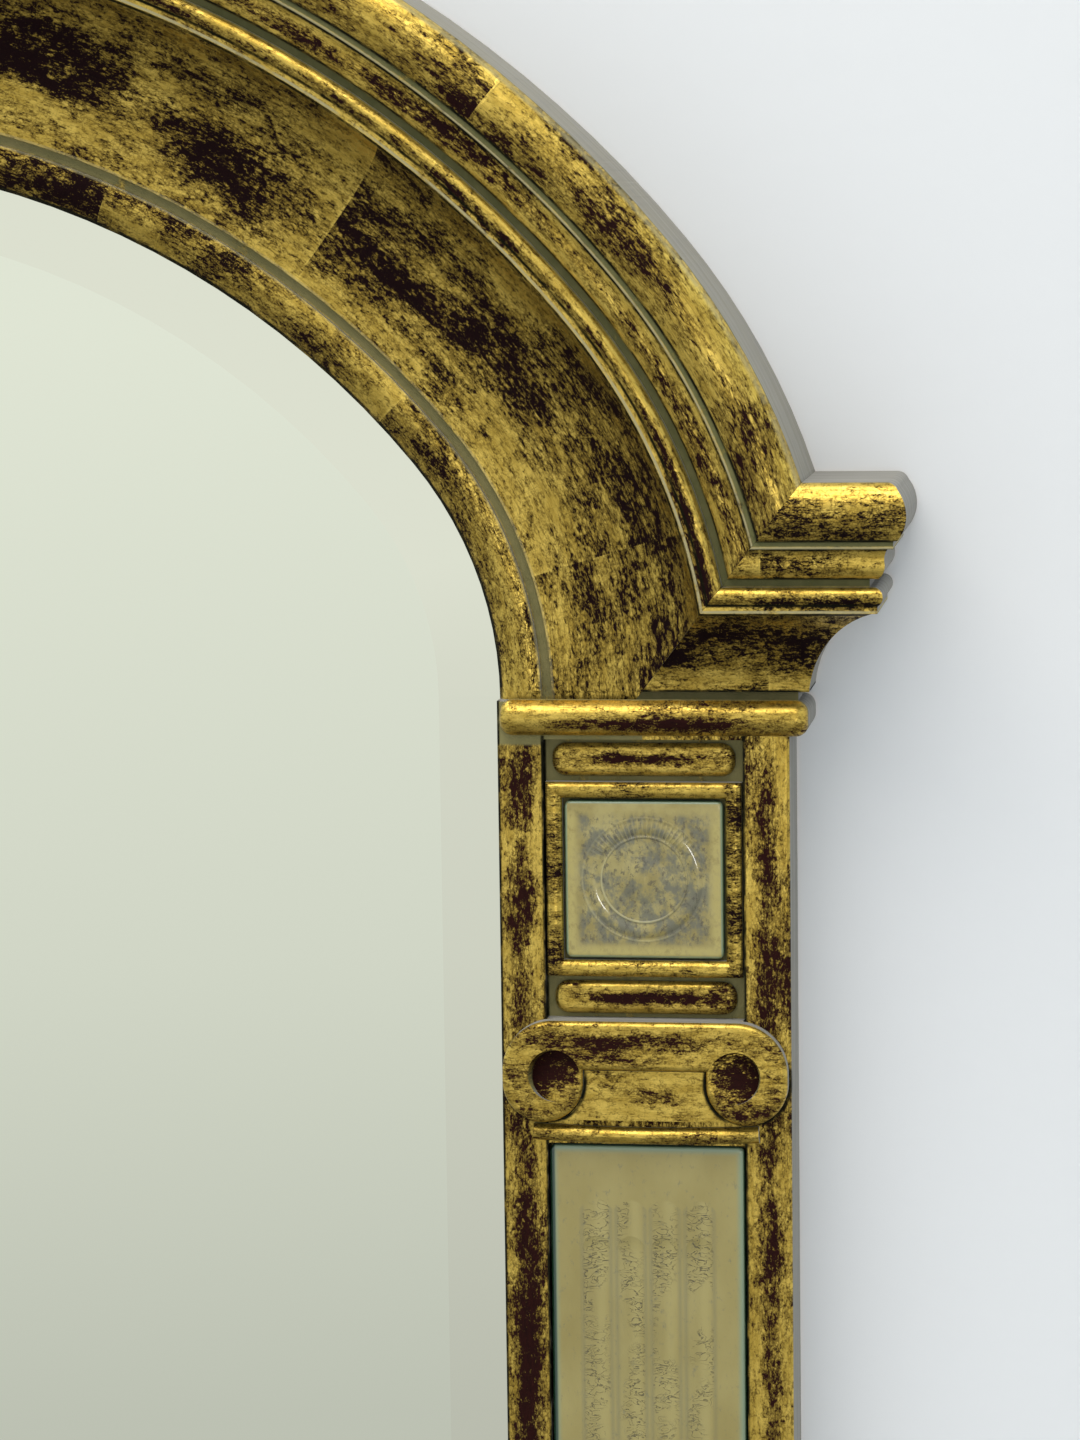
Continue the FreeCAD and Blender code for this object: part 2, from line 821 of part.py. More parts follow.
def make_stile():
    body = new_body("stile_right")
    section = new_sketch(body, "XY_Plane", "Section", stile_foot)
    bend = size("stile_round")
    draw(
        section,
        [
            (stile_inner, ZERO),
            (stile_outer, ZERO),
            (stile_outer, -stile_off + bend),
            (stile_outer - bend, -stile_off, -bend),
            (stile_inner + bend, -stile_off),
            (stile_inner, -stile_off + bend, -bend),
        ],
    )
    pad(body, section, spring - stile_foot)
    for width, depth in (("rebate_width", size("rebate_off")), ("button_rebate_width", ledge_off)):
        rebate = new_sketch(body, "XZ_Plane", "Rebate")
        low = sight_foot - size(width)
        draw(rebate, rectangle(stile_inner - overrun, low, stile_inner + size(width), spring + overrun))
        pocket(body, rebate, depth, reverse=True)
    for top, height in (
        (capital_panel_top, size("capital_panel_height")),
        (shaft_top, size("shaft_height")),
        (plinth_panel_top, size("capital_panel_height")),
    ):
        panel = new_sketch(body, "XZ_Plane", "Panel", stile_off)
        draw(panel, soft_rectangle(panel_inner, top - height, panel_outer, top, size("panel_round")))
        pocket(body, panel, size("panel_depth"))
    seat = new_sketch(body, "XZ_Plane", "HangerSeat")
    draw(seat, hanger_outline(size("hanger_fit")))
    pocket(body, seat, size("hanger_thickness"), reverse=True)
    well = size("keyhole_pocket_radius")
    corner = well * size("round_end_share")
    head_room = new_sketch(body, "XZ_Plane", "ScrewHeadRoom")
    top = size("keyhole_slot_rise") + well
    draw(head_room, soft_rectangle(hanger_across - well, -well, hanger_across + well, top, corner))
    pocket(body, head_room, size("keyhole_pocket_depth"), reverse=True)
    spots = [(hanger_across, up) for up in hanger_screw_up]
    drill(body, "XZ_Plane", ZERO, spots, screw_bore, size("hanger_screw_length") + size("screw_fit"), True)
    spots = [(pivot_across, up) for up in stile_pivot_up]
    drill(body, "XZ_Plane", ledge_off, spots, screw_bore, screw_hole_depth, True)
    spots = [(arch_dowel_across, -size("arch_dowel_off")), (return_dowel_across, -size("dowel_off"))]
    drill(body, "XY_Plane", spring, spots, dowel_bore, dowel_depth, False)
    spots = [(across, -size("dowel_off")) for across in stile_dowel_across]
    drill(body, "XY_Plane", stile_foot, spots, dowel_bore, dowel_depth, True)
    spots = [(-size("dowel_off"), up) for up in rail_dowel_up]
    drill(body, "YZ_Plane", stile_inner, spots, dowel_bore, dowel_depth, True)
    keep_pair("stile", body)


def make_bottom_rail():
    body = new_body("bottom_rail")
    run = sight_run() + [
        (size("sight_foot_rise"), size("field_off"), size("field_bend")),
        (size("sight_foot_rise"), ZERO),
    ]
    run = run + rebate_run()
    sketch = new_sketch(body, "YZ_Plane", "Profile")
    draw(sketch, laid(run, lambda out, off: (-off, sight_foot - out), flip=True))
    pad(body, sketch, sight_half * 2, Midplane=True)
    spots = [(-size("dowel_off"), up) for up in rail_dowel_up]
    drill(body, "YZ_Plane", sight_half, spots, dowel_bore, dowel_depth, False)
    drill(body, "YZ_Plane", -sight_half, spots, dowel_bore, dowel_depth, True)
    side = size("foot_button_side")
    spots = [(side, foot_pivot_up), (-side, foot_pivot_up)]
    drill(body, "XZ_Plane", ledge_off, spots, screw_bore, screw_hole_depth, True)
    keep(body)


# Half-round bars on the pilaster's face


def half_round_bar(label, left, right, up, radius, end_round, ear_top=None):
    """A half-round bar with rounded ends. An ear at its outer end may turn back beside the stile."""
    body = new_body(label)
    sketch = new_sketch(body, "XZ_Plane", "Profile", stile_off)
    top = up + radius
    shoulder = top - end_round
    draw(
        sketch,
        [
            (left, up),
            (right, up),
            (right, shoulder),
            (right - end_round, top, end_round),
            (left + end_round, top),
            (left, shoulder, end_round),
        ],
    )
    add_axis(sketch, (left, up), (right, up))
    settings = {"Profile": sketch, "ReferenceAxis": (sketch, ["Axis0"])}
    turn = feature(body, "Revolution", "Turn", Angle=HALF_TURN, **settings)
    if turn.Shape.CenterOfMass.y > -stile_off.number:
        turn.Reversed = True
        doc.recompute()
    if ear_top:
        ear = new_sketch(body, "XZ_Plane", "Ear")
        draw(
            ear,
            [
                (stile_outer, up - radius),
                (right - end_round, up - radius),
                (right, up - radius + end_round, end_round),
                (right, ear_top - end_round),
                (right - end_round, ear_top, end_round),
                (stile_outer, ear_top),
            ],
        )
        pad(body, ear, stile_off)
    return body


def make_bars():
    overhang = size("astragal_overhang")
    bar = half_round_bar(
        "astragal_right",
        stile_inner + size("astragal_inset"),
        stile_outer + overhang,
        spring + size("astragal_rise") - size("astragal_radius"),
        size("astragal_radius"),
        size("astragal_end_round"),
        spring,
    )
    keep_pair("astragal", bar)
    bar = half_round_bar(
        "column_base_bar_right",
        stile_inner + size("base_bar_inset"),
        stile_outer - size("base_bar_inset"),
        base_bar_up,
        size("base_bar_radius"),
        size("base_bar_end_round"),
    )
    keep_pair("column_base_bar", bar)
    bar = half_round_bar(
        "column_base_torus_right",
        stile_inner + size("astragal_inset"),
        stile_outer + overhang,
        base_torus_up,
        size("base_torus_radius"),
        size("astragal_end_round"),
        base_torus_up + size("base_torus_radius"),
    )
    keep_pair("column_base_torus", bar)


# Sunk panel dressings: cushion bars, bezel and rosette glass


def make_cushion_bar(name, up):
    """A pill-shaped bar with a crowned face, its top edge at a height."""
    body = new_body(f"{name}_right")
    half = size("bar_width") / 2
    sketch = new_sketch(body, "XZ_Plane", "Outline", panel_off)
    low = up - size("bar_height")
    draw(sketch, soft_rectangle(stile_middle - half, low, stile_middle + half, up, size("bar_corner")))
    pad(body, sketch, size("bar_thickness"))
    round_front(body, panel_off + size("bar_thickness"), size("bar_crown"))
    keep_pair(name, body)


def make_bezel(name, up):
    body = new_body(f"{name}_right")
    half = size("bezel_width") / 2
    opening = half - size("bezel_border")
    sketch = new_sketch(body, "XZ_Plane", "Outline", panel_off)
    for reach in (half, opening):
        draw(sketch, rectangle(stile_middle - reach, up - reach, stile_middle + reach, up + reach))
    base = pad(body, sketch, size("bezel_thickness"))
    crest = panel_off + size("bezel_thickness")
    parting = (half + opening).number
    for radius, is_outer in (("bezel_outer_round", True), ("bezel_inner_round", False)):
        base = body.Tip
        names = []
        for label in front_edges(base.Shape, crest):
            length = base.Shape.getElement(label).Length
            if (length > parting) == is_outer:
                names.append(label)
        feature(body, "Fillet", "Round", Base=(base, names), Radius=size(radius))
        parting = parting - size(radius).number * 2
    keep_pair(name, body)


def cap_bend(half_width, rise):
    """Radius of the arc that rises by so much over a half width."""
    return (half_width * half_width + rise * rise) / (rise * 2)


def make_rosette_glass(name, up):
    """A square of pressed glass with a ring and a low lens in relief."""
    body = new_body(f"{name}_right")
    half = size("bezel_width") / 2 - size("bezel_border") - size("tile_gap")
    sketch = new_sketch(body, "XZ_Plane", "Outline", panel_off)
    corner = size("tile_corner")
    draw(sketch, soft_rectangle(stile_middle - half, up - half, stile_middle + half, up + half, corner))
    pad(body, sketch, size("tile_thickness"))
    face = panel_off + size("tile_thickness")
    round_front(body, face, size("tile_edge_round"))
    bite = size("relief_bite")
    root = -face + bite
    near = up + size("ring_radius") - size("ring_width") / 2
    far = near + size("ring_width")
    bend = cap_bend(size("ring_width") / 2, size("ring_height") + bite)
    ring = new_sketch(body, "YZ_Plane", "RingProfile", stile_middle)
    draw(ring, [(root, near, bend), (root, far)])
    rim = up + size("lens_radius")
    crest = -face - size("lens_height")
    bend = cap_bend(size("lens_radius"), size("lens_height") + bite)
    lens = new_sketch(body, "YZ_Plane", "LensProfile", stile_middle)
    draw(lens, [(root, up), (root, rim), (crest, up, bend)])
    for relief in (ring, lens):
        add_axis(relief, (root, up), (crest, up))
        axis = (relief, ["Axis0"])
        feature(body, "Revolution", "Relief", Profile=relief, ReferenceAxis=axis, Angle=FULL_TURN)
    keep_pair(name, body)


def make_panels():
    inset = size("bar_inset")
    for name, top in (("capital", capital_panel_top), ("plinth", plinth_panel_top)):
        foot = top - size("capital_panel_height")
        middle = (top + foot) / 2
        make_cushion_bar(f"{name}_upper_bar", top - inset)
        make_cushion_bar(f"{name}_lower_bar", foot + inset + size("bar_height"))
        make_bezel(f"{name}_bezel", middle)
        make_rosette_glass(f"{name}_rosette_glass", middle)


# Scroll capital, echinus and neck bar

scroll_top = spring - size("scroll_drop")
scroll_shoulder = scroll_top - size("scroll_corner")
volute_up = scroll_shoulder - size("scroll_waist")
scroll_foot = volute_up - size("volute_radius")
volute_side = size("scroll_width") / 2 - size("volute_radius")
band_foot = scroll_top - size("scroll_band")


def make_scroll_capital():
    """A band that rolls into a volute at each end, with dished eyes that dip towards the band."""
    body = new_body("scroll_capital_right")
    left = stile_middle - volute_side
    right = stile_middle + volute_side
    corner = size("scroll_corner")
    volute = size("volute_radius")
    sketch = new_sketch(body, "XZ_Plane", "Outline", stile_off)
    draw(
        sketch,
        [
            (right, scroll_foot, volute),
            (right + volute, volute_up, volute),
            (right + volute, scroll_shoulder),
            (right + volute - corner, scroll_top, corner),
            (left - volute + corner, scroll_top),
            (left - volute, scroll_shoulder, corner),
            (left - volute, volute_up),
            (left, scroll_foot, volute),
            (left + volute, volute_up, volute),
            (left + volute, band_foot),
            (right - volute, band_foot),
            (right - volute, volute_up),
        ],
    )
    pad(body, sketch, size("scroll_thickness"))
    face = stile_off + size("scroll_thickness")
    round_front(body, face, size("scroll_round"))
    for side, lean in ((1, Vector(-1, 1, 0)), (-1, Vector(-1, -1, 0))):
        across = stile_middle + size("eye_side") * side
        up = scroll_top - size("eye_drop")
        floor = face - size("eye_middle_depth")
        before = body.Shape.Volume
        eye = body.newObject("PartDesign::SubtractiveCylinder", "Eye")
        eye.AttachmentSupport = [(origin_item(body, "XZ_Plane"), "")]
        eye.MapMode = "FlatFace"
        tilt = Rotation(lean, size("eye_tilt").number)
        eye.AttachmentOffset = Placement(Vector(across.number, up.number, floor.number), tilt)
        eye.setExpression("AttachmentOffset.Base.x", across.formula)
        eye.setExpression("AttachmentOffset.Base.y", up.formula)
        eye.setExpression("AttachmentOffset.Base.z", floor.formula)
        eye.setExpression("Radius", size("eye_radius").formula)
        eye.setExpression("Height", size("scroll_thickness").formula)
        doc.recompute()
        if eye.Shape.Volume >= before:
            raise RuntimeError("a volute's eye cuts nothing")
    keep_pair("scroll_capital", body)


def make_echinus():
    """The block between the volutes, under the band."""
    body = new_body("echinus_right")
    gap = size("echinus_gap")
    bend = size("volute_radius") + gap
    top_half = volute_side - bend
    foot_half = size("echinus_foot_width") / 2
    span = volute_side - foot_half
    foot = volute_up - (bend * bend - span * span).root()
    top = band_foot - gap
    sketch = new_sketch(body, "XZ_Plane", "Outline", stile_off)
    draw(
        sketch,
        [
            (stile_middle + top_half, top),
            (stile_middle - top_half, top),
            (stile_middle - top_half, volute_up),
            (stile_middle - foot_half, foot, -bend),
            (stile_middle + foot_half, foot),
            (stile_middle + top_half, volute_up, -bend),
        ],
    )
    pad(body, sketch, size("echinus_thickness"))
    keep_pair("echinus", body)


def make_neck_bar():
    """A thin rounded bar that sags a little between its ends."""
    body = new_body("neck_bar_right")
    top = spring - size("neck_drop") - size("neck_sag")
    middle = top - size("neck_height") / 2
    low = top - size("neck_height")
    crest = stile_off + size("neck_thickness")
    sketch = new_sketch(body, "YZ_Plane", "Section", stile_middle)
    bend = size("neck_bend")
    draw(sketch, [(-stile_off, top), (-crest, middle, bend), (-stile_off, low, bend)])
    half = size("neck_width") / 2
    radius = cap_bend(half, size("neck_sag"))
    centre = middle + radius
    add_axis(sketch, (ZERO, centre), (-stile_off, centre))
    turn = Size(
        2 * math.degrees(math.asin(half.number / radius.number)),
        f"(2 * asin({half.formula} / {radius.formula}))",
    )
    settings = {"Profile": sketch, "ReferenceAxis": (sketch, ["Axis0"]), "Angle": turn}
    feature(body, "Revolution", "Sweep", Midplane=True, **settings)
    keep_pair("neck_bar", body)


# Shaft glass


def make_shaft_glass():
    """A long panel of pressed glass with round-ended flutes."""
    body = new_body("shaft_glass_right")
    gap = size("shaft_gap")
    top = shaft_top - gap
    foot = shaft_foot + gap
    sketch = new_sketch(body, "XZ_Plane", "Outline", panel_off)
    draw(sketch, soft_rectangle(panel_inner + gap, foot, panel_outer - gap, top, size("shaft_corner")))
    pad(body, sketch, size("shaft_thickness"))
    face = panel_off + size("shaft_thickness")
    round_front(body, face, size("shaft_edge_round"))
    bend = size("flute_bend")
    axis_at = -face + size("flute_depth") - bend
    low = foot + size("flute_margin")
    high = top - size("flute_margin")
    span = size("flute_pitch") * (FLUTE_COUNT - 1)
    first = stile_middle - span / 2
    sketch = new_sketch(body, "YZ_Plane", "FluteProfile", first)
    draw(
        sketch,
        [
            (axis_at, low),
            (axis_at + bend, low + bend, bend),
            (axis_at + bend, high - bend),
            (axis_at, high, bend),
        ],
    )
    add_axis(sketch, (axis_at, low), (axis_at, high))
    before = body.Shape.Volume
    axis = (sketch, ["Axis0"])
    flute = feature(body, "Groove", "Flute", Profile=sketch, ReferenceAxis=axis, Angle=FULL_TURN)
    if flute.Shape.Volume >= before:
        raise RuntimeError("a flute cuts nothing")
    body.Tip = feature(
        body,
        "LinearPattern",
        "Flutes",
        Originals=[flute],
        Direction=(origin_item(body, "X_Axis"), [""]),
        Length=span,
        Occurrences=FLUTE_COUNT,
    )
    keep_pair("shaft_glass", body)


# Mirror plate and backing board


def arch_outline(lap):
    """The sight opening's outline, grown by a lap."""
    half = sight_half + lap
    foot = sight_foot - lap
    haunch = haunch_radius + lap
    knee_across = haunch_across + haunch * haunch_across / radius_gap
    knee_up = spring + haunch * centre_drop / radius_gap
    return [
        (-half, foot),
        (half, foot),
        (half, spring),
        (knee_across, knee_up, haunch),
        (-knee_across, knee_up, crown_radius + lap),
        (-half, spring, haunch),
    ]


def make_mirror_plate():
    body = new_body("mirror_plate")
    back = ledge_off + size("board_thickness") + size("seat_gap")
    sketch = new_sketch(body, "XZ_Plane", "Outline", back)
    draw(sketch, arch_outline(size("glass_lap")))
    base = pad(body, sketch, size("glass_thickness"))
    feature(
        body,
        "Chamfer",
        "Bevel",
        Base=(base, front_edges(base.Shape, back + size("glass_thickness"))),
        ChamferType="Two distances",
        FlipDirection=True,
        Size=size("bevel_width") + size("glass_lap"),
        Size2=size("bevel_drop"),
    )
    keep(body)


def make_backing_board():
    body = new_body("backing_board")
    sketch = new_sketch(body, "XZ_Plane", "Outline", ledge_off)
    draw(sketch, arch_outline(size("board_lap")))
    pad(body, sketch, size("board_thickness"))
    keep(body)


# Fasteners


def rod(radius, length, across, off, up, turn):
    """A plain round rod from a place, along the direction that a turn of the Z axis gives."""
    item = doc.addObject("Part::Cylinder", "Rod")
    item.setExpression("Radius", radius.formula)
    item.setExpression("Height", length.formula)
    item.Placement = Placement(Vector(), turn)
    place(item, across, off, up)
    return item


def group(label, items):
    bundle = doc.addObject("Part::Compound", label)
    bundle.Label = label
    bundle.Links = items
    return keep(bundle)


def make_dowels():
    radius = size("dowel_radius")
    length = size("dowel_length")
    half = length / 2
    off = size("dowel_off")
    upright = [
        (arch_dowel_across, size("arch_dowel_off"), spring - half),
        (return_dowel_across, off, spring - half),
    ]
    upright += [(across, off, stile_foot - half) for across in stile_dowel_across]
    rods = []
    for side in (1, -1):
        for across, depth, up in upright:
            rods.append(rod(radius, length, across * side, depth, up, UPRIGHT))
        for up in rail_dowel_up:
            rods.append(rod(radius, length, sight_half * side - half, off, up, TO_RIGHT))
    group("joint_dowels", rods)


BUTTONS = [
    ("turn_button_right_lower", pivot_across, stile_pivot_up[0], ZERO),
    ("turn_button_right_upper", pivot_across, stile_pivot_up[1], ZERO),
    ("turn_button_left_lower", -pivot_across, stile_pivot_up[0], as_size(HALF_TURN)),
    ("turn_button_left_upper", -pivot_across, stile_pivot_up[1], as_size(HALF_TURN)),
    ("turn_button_arch_right", arch_pivot_across, arch_pivot_up, arch_button_angle),
    ("turn_button_arch_left", -arch_pivot_across, arch_pivot_up, as_size(HALF_TURN) - arch_button_angle),
    ("turn_button_bottom_right", size("foot_button_side"), foot_pivot_up, as_size(-QUARTER_TURN)),
    ("turn_button_bottom_left", -size("foot_button_side"), foot_pivot_up, as_size(-QUARTER_TURN)),
]


def make_turn_buttons():
    """Small brass plates on the rebate's ledge, each with its tongue over the backing board."""
    for label, across, up, turn in BUTTONS:
        body = new_body(label)
        radius = size("button_radius")
        sketch = new_sketch(body, "XZ_Plane", "Outline")
        tip = size("button_reach")
        corner = radius * size("round_end_share")
        draw(sketch, soft_rectangle(-tip, -radius, radius, radius, corner))
        draw_circle(sketch, ZERO, ZERO, size("button_bore"))
        pad(body, sketch, size("button_thickness"))
        body.Placement = Placement(Vector(), Rotation(Vector(0, -1, 0), turn.number))
        place(body, across, button_back, up)
        keep(body)


def make_button_screws():
    screws = []
    head = size("screw_head_height")
    for label, across, up, turn in BUTTONS:
        top = button_back - size("button_gap")
        cap = rod(size("screw_head_radius"), head, across, top - head, up, TO_FRONT)
        shank = rod(size("screw_radius"), size("screw_length"), across, top, up, TO_FRONT)
        screw = doc.addObject("Part::Fuse", "Screw")
        screw.Base = cap
        screw.Tool = shank
        screws.append(screw)
    group("turn_button_screws", screws)


def make_hanger_plates():
    """Steel keyhole plates, let in flush with the back of each stile."""
    body = new_body("hanger_plate_right")
    outline = new_sketch(body, "XZ_Plane", "Outline")
    draw(outline, hanger_outline(ZERO))
    pad(body, outline, size("hanger_thickness"))
    drill(body, "XZ_Plane", ZERO, [(hanger_across, ZERO)], size("keyhole_radius"), None, True)
    slot = new_sketch(body, "XZ_Plane", "Slot")
    wide = size("keyhole_slot_radius")
    corner = wide * size("round_end_share")
    top = size("keyhole_slot_rise") + wide
    draw(slot, soft_rectangle(hanger_across - wide, ZERO, hanger_across + wide, top, corner))
    pocket(body, slot, reverse=True)
    for up in hanger_screw_up:
        sink = body.newObject("PartDesign::SubtractiveCone", "Countersink")
        sink.AttachmentSupport = [(origin_item(body, "XZ_Plane"), "")]
        sink.MapMode = "FlatFace"
        sink.AttachmentOffset = Placement(Vector(hanger_across.number, up.number, 0), Rotation())
        sink.setExpression("AttachmentOffset.Base.x", hanger_across.formula)
        sink.setExpression("AttachmentOffset.Base.y", up.formula)
        fit = size("screw_fit")
        sink.setExpression("Radius1", (size("hanger_screw_head_radius") + fit).formula)
        sink.setExpression("Radius2", screw_bore.formula)
        sink.setExpression("Height", size("hanger_thickness").formula)
        doc.recompute()
    keep_pair("hanger_plate", body)


def make_hanger_screws():
    screws = []
    for side in (1, -1):
        for up in hanger_screw_up:
            head = doc.addObject("Part::Cone", "Head")
            head.setExpression("Radius1", size("hanger_screw_head_radius").formula)
            head.setExpression("Radius2", size("screw_radius").formula)
            head.setExpression("Height", size("hanger_thickness").formula)
            head.Placement = Placement(Vector(), TO_FRONT)
            place(head, hanger_across * side, ZERO, up)
            length = size("hanger_screw_length")
            shank = rod(size("screw_radius"), length, hanger_across * side, ZERO, up, TO_FRONT)
            screw = doc.addObject("Part::Fuse", "Screw")
            screw.Base = head
            screw.Tool = shank
            screws.append(screw)
    group("hanger_screws", screws)


make_arch_rail()
make_arch_crown()
make_cornice_return()
make_base_moulding()
make_stile()
make_bottom_rail()
make_bars()
make_panels()
make_scroll_capital()
make_echinus()
make_neck_bar()
make_shaft_glass()
make_mirror_plate()
make_backing_board()
make_dowels()
make_turn_buttons()
make_button_screws()
make_hanger_plates()
make_hanger_screws()
doc.recompute()

for item in doc.Objects:
    if "Invalid" in item.State or "Error" in item.State:
        raise RuntimeError(f"{item.Name} failed: {item.State}")
for item in NODES:
    if item.Shape.isNull() or not item.Shape.isValid():
        raise RuntimeError(f"{item.Label} has no valid shape")

os.makedirs("parts", exist_ok=True)
for item in NODES:
    item.Shape.exportStep(f"parts/{item.Label}.step")
print(len(NODES), "sub-parts written")
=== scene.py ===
import math

import bpy
from mathutils import Matrix, Vector


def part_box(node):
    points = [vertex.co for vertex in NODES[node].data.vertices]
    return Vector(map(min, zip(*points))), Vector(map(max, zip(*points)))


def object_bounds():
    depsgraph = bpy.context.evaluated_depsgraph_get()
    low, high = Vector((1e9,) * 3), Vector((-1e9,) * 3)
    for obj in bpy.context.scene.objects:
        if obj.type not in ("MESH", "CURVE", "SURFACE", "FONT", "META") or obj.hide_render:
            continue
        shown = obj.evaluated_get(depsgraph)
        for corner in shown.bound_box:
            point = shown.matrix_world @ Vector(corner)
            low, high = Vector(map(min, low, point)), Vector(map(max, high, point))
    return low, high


# An arched wall mirror: worn metal leaf on the frame, pressed glass in the pilasters, a bevelled plate.
# Metres. "Off" is a height off the wall, "along" runs with a moulding and "across" goes over it.

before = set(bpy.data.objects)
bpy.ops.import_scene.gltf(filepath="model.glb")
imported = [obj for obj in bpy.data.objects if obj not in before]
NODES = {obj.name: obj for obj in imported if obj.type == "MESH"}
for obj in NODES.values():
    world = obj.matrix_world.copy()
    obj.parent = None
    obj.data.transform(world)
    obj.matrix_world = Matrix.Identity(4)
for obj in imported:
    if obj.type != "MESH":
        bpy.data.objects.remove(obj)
cad_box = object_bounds()

# Places read from the frame

stile_low, stile_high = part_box("stile_right")
glass_low, glass_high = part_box("shaft_glass_right")
tile_low, tile_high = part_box("capital_rosette_glass_right")
scroll_low, scroll_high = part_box("scroll_capital_right")
SIGHT_HALF = stile_low.x
STILE_OUTER = stile_high.x
STILE_MIDDLE = (SIGHT_HALF + STILE_OUTER) / 2
STILE_OFF = -stile_low.y
SPRING = stile_high.z
FLOOR = cad_box[0].z

# The three-centred arch

HAUNCH_RADIUS = 0.144
CROWN_RADIUS = 0.328
HAUNCH_ACROSS = SIGHT_HALF - HAUNCH_RADIUS
CENTRE_DROP = math.sqrt((CROWN_RADIUS - HAUNCH_RADIUS) ** 2 - HAUNCH_ACROSS**2)
ARCH_TURN = math.atan2(CENTRE_DROP, HAUNCH_ACROSS)
HAUNCH_LENGTH = HAUNCH_RADIUS * ARCH_TURN
QUARTER_LENGTH = HAUNCH_LENGTH + CROWN_RADIUS * (math.pi / 2 - ARCH_TURN)

# Pilaster details

MARGIN_WIDTH = 0.0177
PANEL_OFF = 0.0290
EYE_SIDE = 0.0344
EYE_DROP = 0.0219
EYE_RADIUS = 0.0100
VOLUTE_RADIUS = 0.0158
VOLUTE_SIDE = 0.0397
VOLUTE_DROP = 0.0242
RING_RADIUS = 0.0203
RING_WIDTH = 0.0074
FLUTE_PITCH = 0.0135
FLUTES_EACH_SIDE = 2
FLUTE_TOP = glass_high.z - 0.022
FLUTE_ROUND = 0.016
RING_TICKS = 72.0
RING_LINE_HALF = 0.0004
GLASS_RELIEF = 0.0006

# The arch's section, out from the sight edge. A stop is (place, wear), a line is its place, and a recess is
# (middle, half width, softness)

ARCH_WEAR = [
    (0.0, 0.36),
    (0.008, 0.28),
    (0.0165, 0.22),
    (0.021, 0.12),
    (0.030, 0.26),
    (0.045, 0.56),
    (0.068, 0.58),
    (0.080, 0.44),
    (0.0855, 0.16),
    (0.0880, 0.30),
    (0.0896, 0.62),
    (0.0908, 0.46),
    (0.0918, -0.15),
    (0.0946, -0.3),
    (0.0985, 0.05),
    (0.1015, 0.52),
    (0.1050, 0.50),
    (0.1080, 0.10),
    (0.1127, 0.34),
    (0.118, 0.44),
    (0.124, 0.32),
    (0.129, 0.02),
    (0.134, -0.3),
]
ARCH_RECESSES = [
    (0.0189, 0.0019, 0.0006),
    (0.0960, 0.0016, 0.0005),
    (0.1115, 0.0010, 0.0003),
]
# Lines of dirt and painted shade in the quirks and at the steps
ARCH_DIRT_AND_SHADE_LINES = (0.0840, 0.0880, 0.0980, 0.1091, 0.1127)
# Arrises and the rim: pale lines that are partly rubbed leaf and partly painted highlight
ARCH_GROOVE_ARRISES = (0.0166, 0.0213)
ARCH_STEP_ARRISES = (0.0855, 0.1099)
ARCH_RIM = (0.1332, 0.0008, 0.0008)
ARCH_GROOVE = 0.019

# A return's section, up from the spring line

RETURN_WEAR = [
    (0.0, 0.0),
    (0.006, 0.10),
    (0.014, 0.52),
    (0.026, 0.74),
    (0.034, 0.52),
    (0.0370, 0.05),
    (0.0400, 0.45),
    (0.0425, 0.35),
    (0.0445, -0.15),
    (0.0465, -0.2),
    (0.053, -0.25),
    (0.057, -0.05),
    (0.062, -0.2),
    (0.067, 0.42),
    (0.074, 0.32),
    (0.080, 0.10),
    (0.086, -0.2),
]
RETURN_RECESSES = [
    (0.0481, 0.0016, 0.0005),
    (0.0632, 0.0010, 0.0003),
]
# Lines of dirt and painted shade, then arrises that are partly rubbed leaf and partly painted highlight
RETURN_DIRT_AND_SHADE_LINES = (0.0039, 0.0358, 0.0396, 0.0497, 0.0608, 0.0644)
RETURN_ARRISES = (0.0371, 0.0616)

DIRT_AND_SHADE_HALF = 0.0006
ARRIS_HALF = 0.0005

# Colours, linear

GOLD_LIGHT = (0.78, 0.55, 0.115, 1)
GOLD_DEEP = (0.50, 0.33, 0.055, 1)
GOLD_THIN = (0.16, 0.10, 0.018, 1)
BOLE_DARK = (0.0045, 0.0022, 0.0030, 1)
BOLE_RED = (0.040, 0.0095, 0.0060, 1)
# Dirt and painted shade, near black, for the quirks and the steps of the mouldings
DIRT_AND_SHADE = (0.008, 0.008, 0.004, 1)
# Pale arrises: rubbed leaf and painted highlight
ARRIS_RUBBED_AND_HIGHLIGHT = (0.40, 0.345, 0.18, 1)
WASH_GREEN = (0.125, 0.125, 0.050, 1)
WASH_GREY = (0.255, 0.222, 0.095, 1)
SIDE_GREY = (0.30, 0.29, 0.26, 1)
SIDE_BROWN = (0.245, 0.23, 0.20, 1)
GLASS_KHAKI = (0.245, 0.188, 0.036, 1)
GLASS_PALE = (0.375, 0.31, 0.10, 1)
# Painted glint on the rosette's ring lines
GLASS_GLINT = (0.44, 0.39, 0.18, 1)
GLASS_RIM = (0.40, 0.325, 0.085, 1)
GLASS_BLUE = (0.088, 0.093, 0.070, 1)
GLASS_BROWN = (0.060, 0.046, 0.020, 1)
GLASS_TEAL = (0.20, 0.27, 0.165, 1)
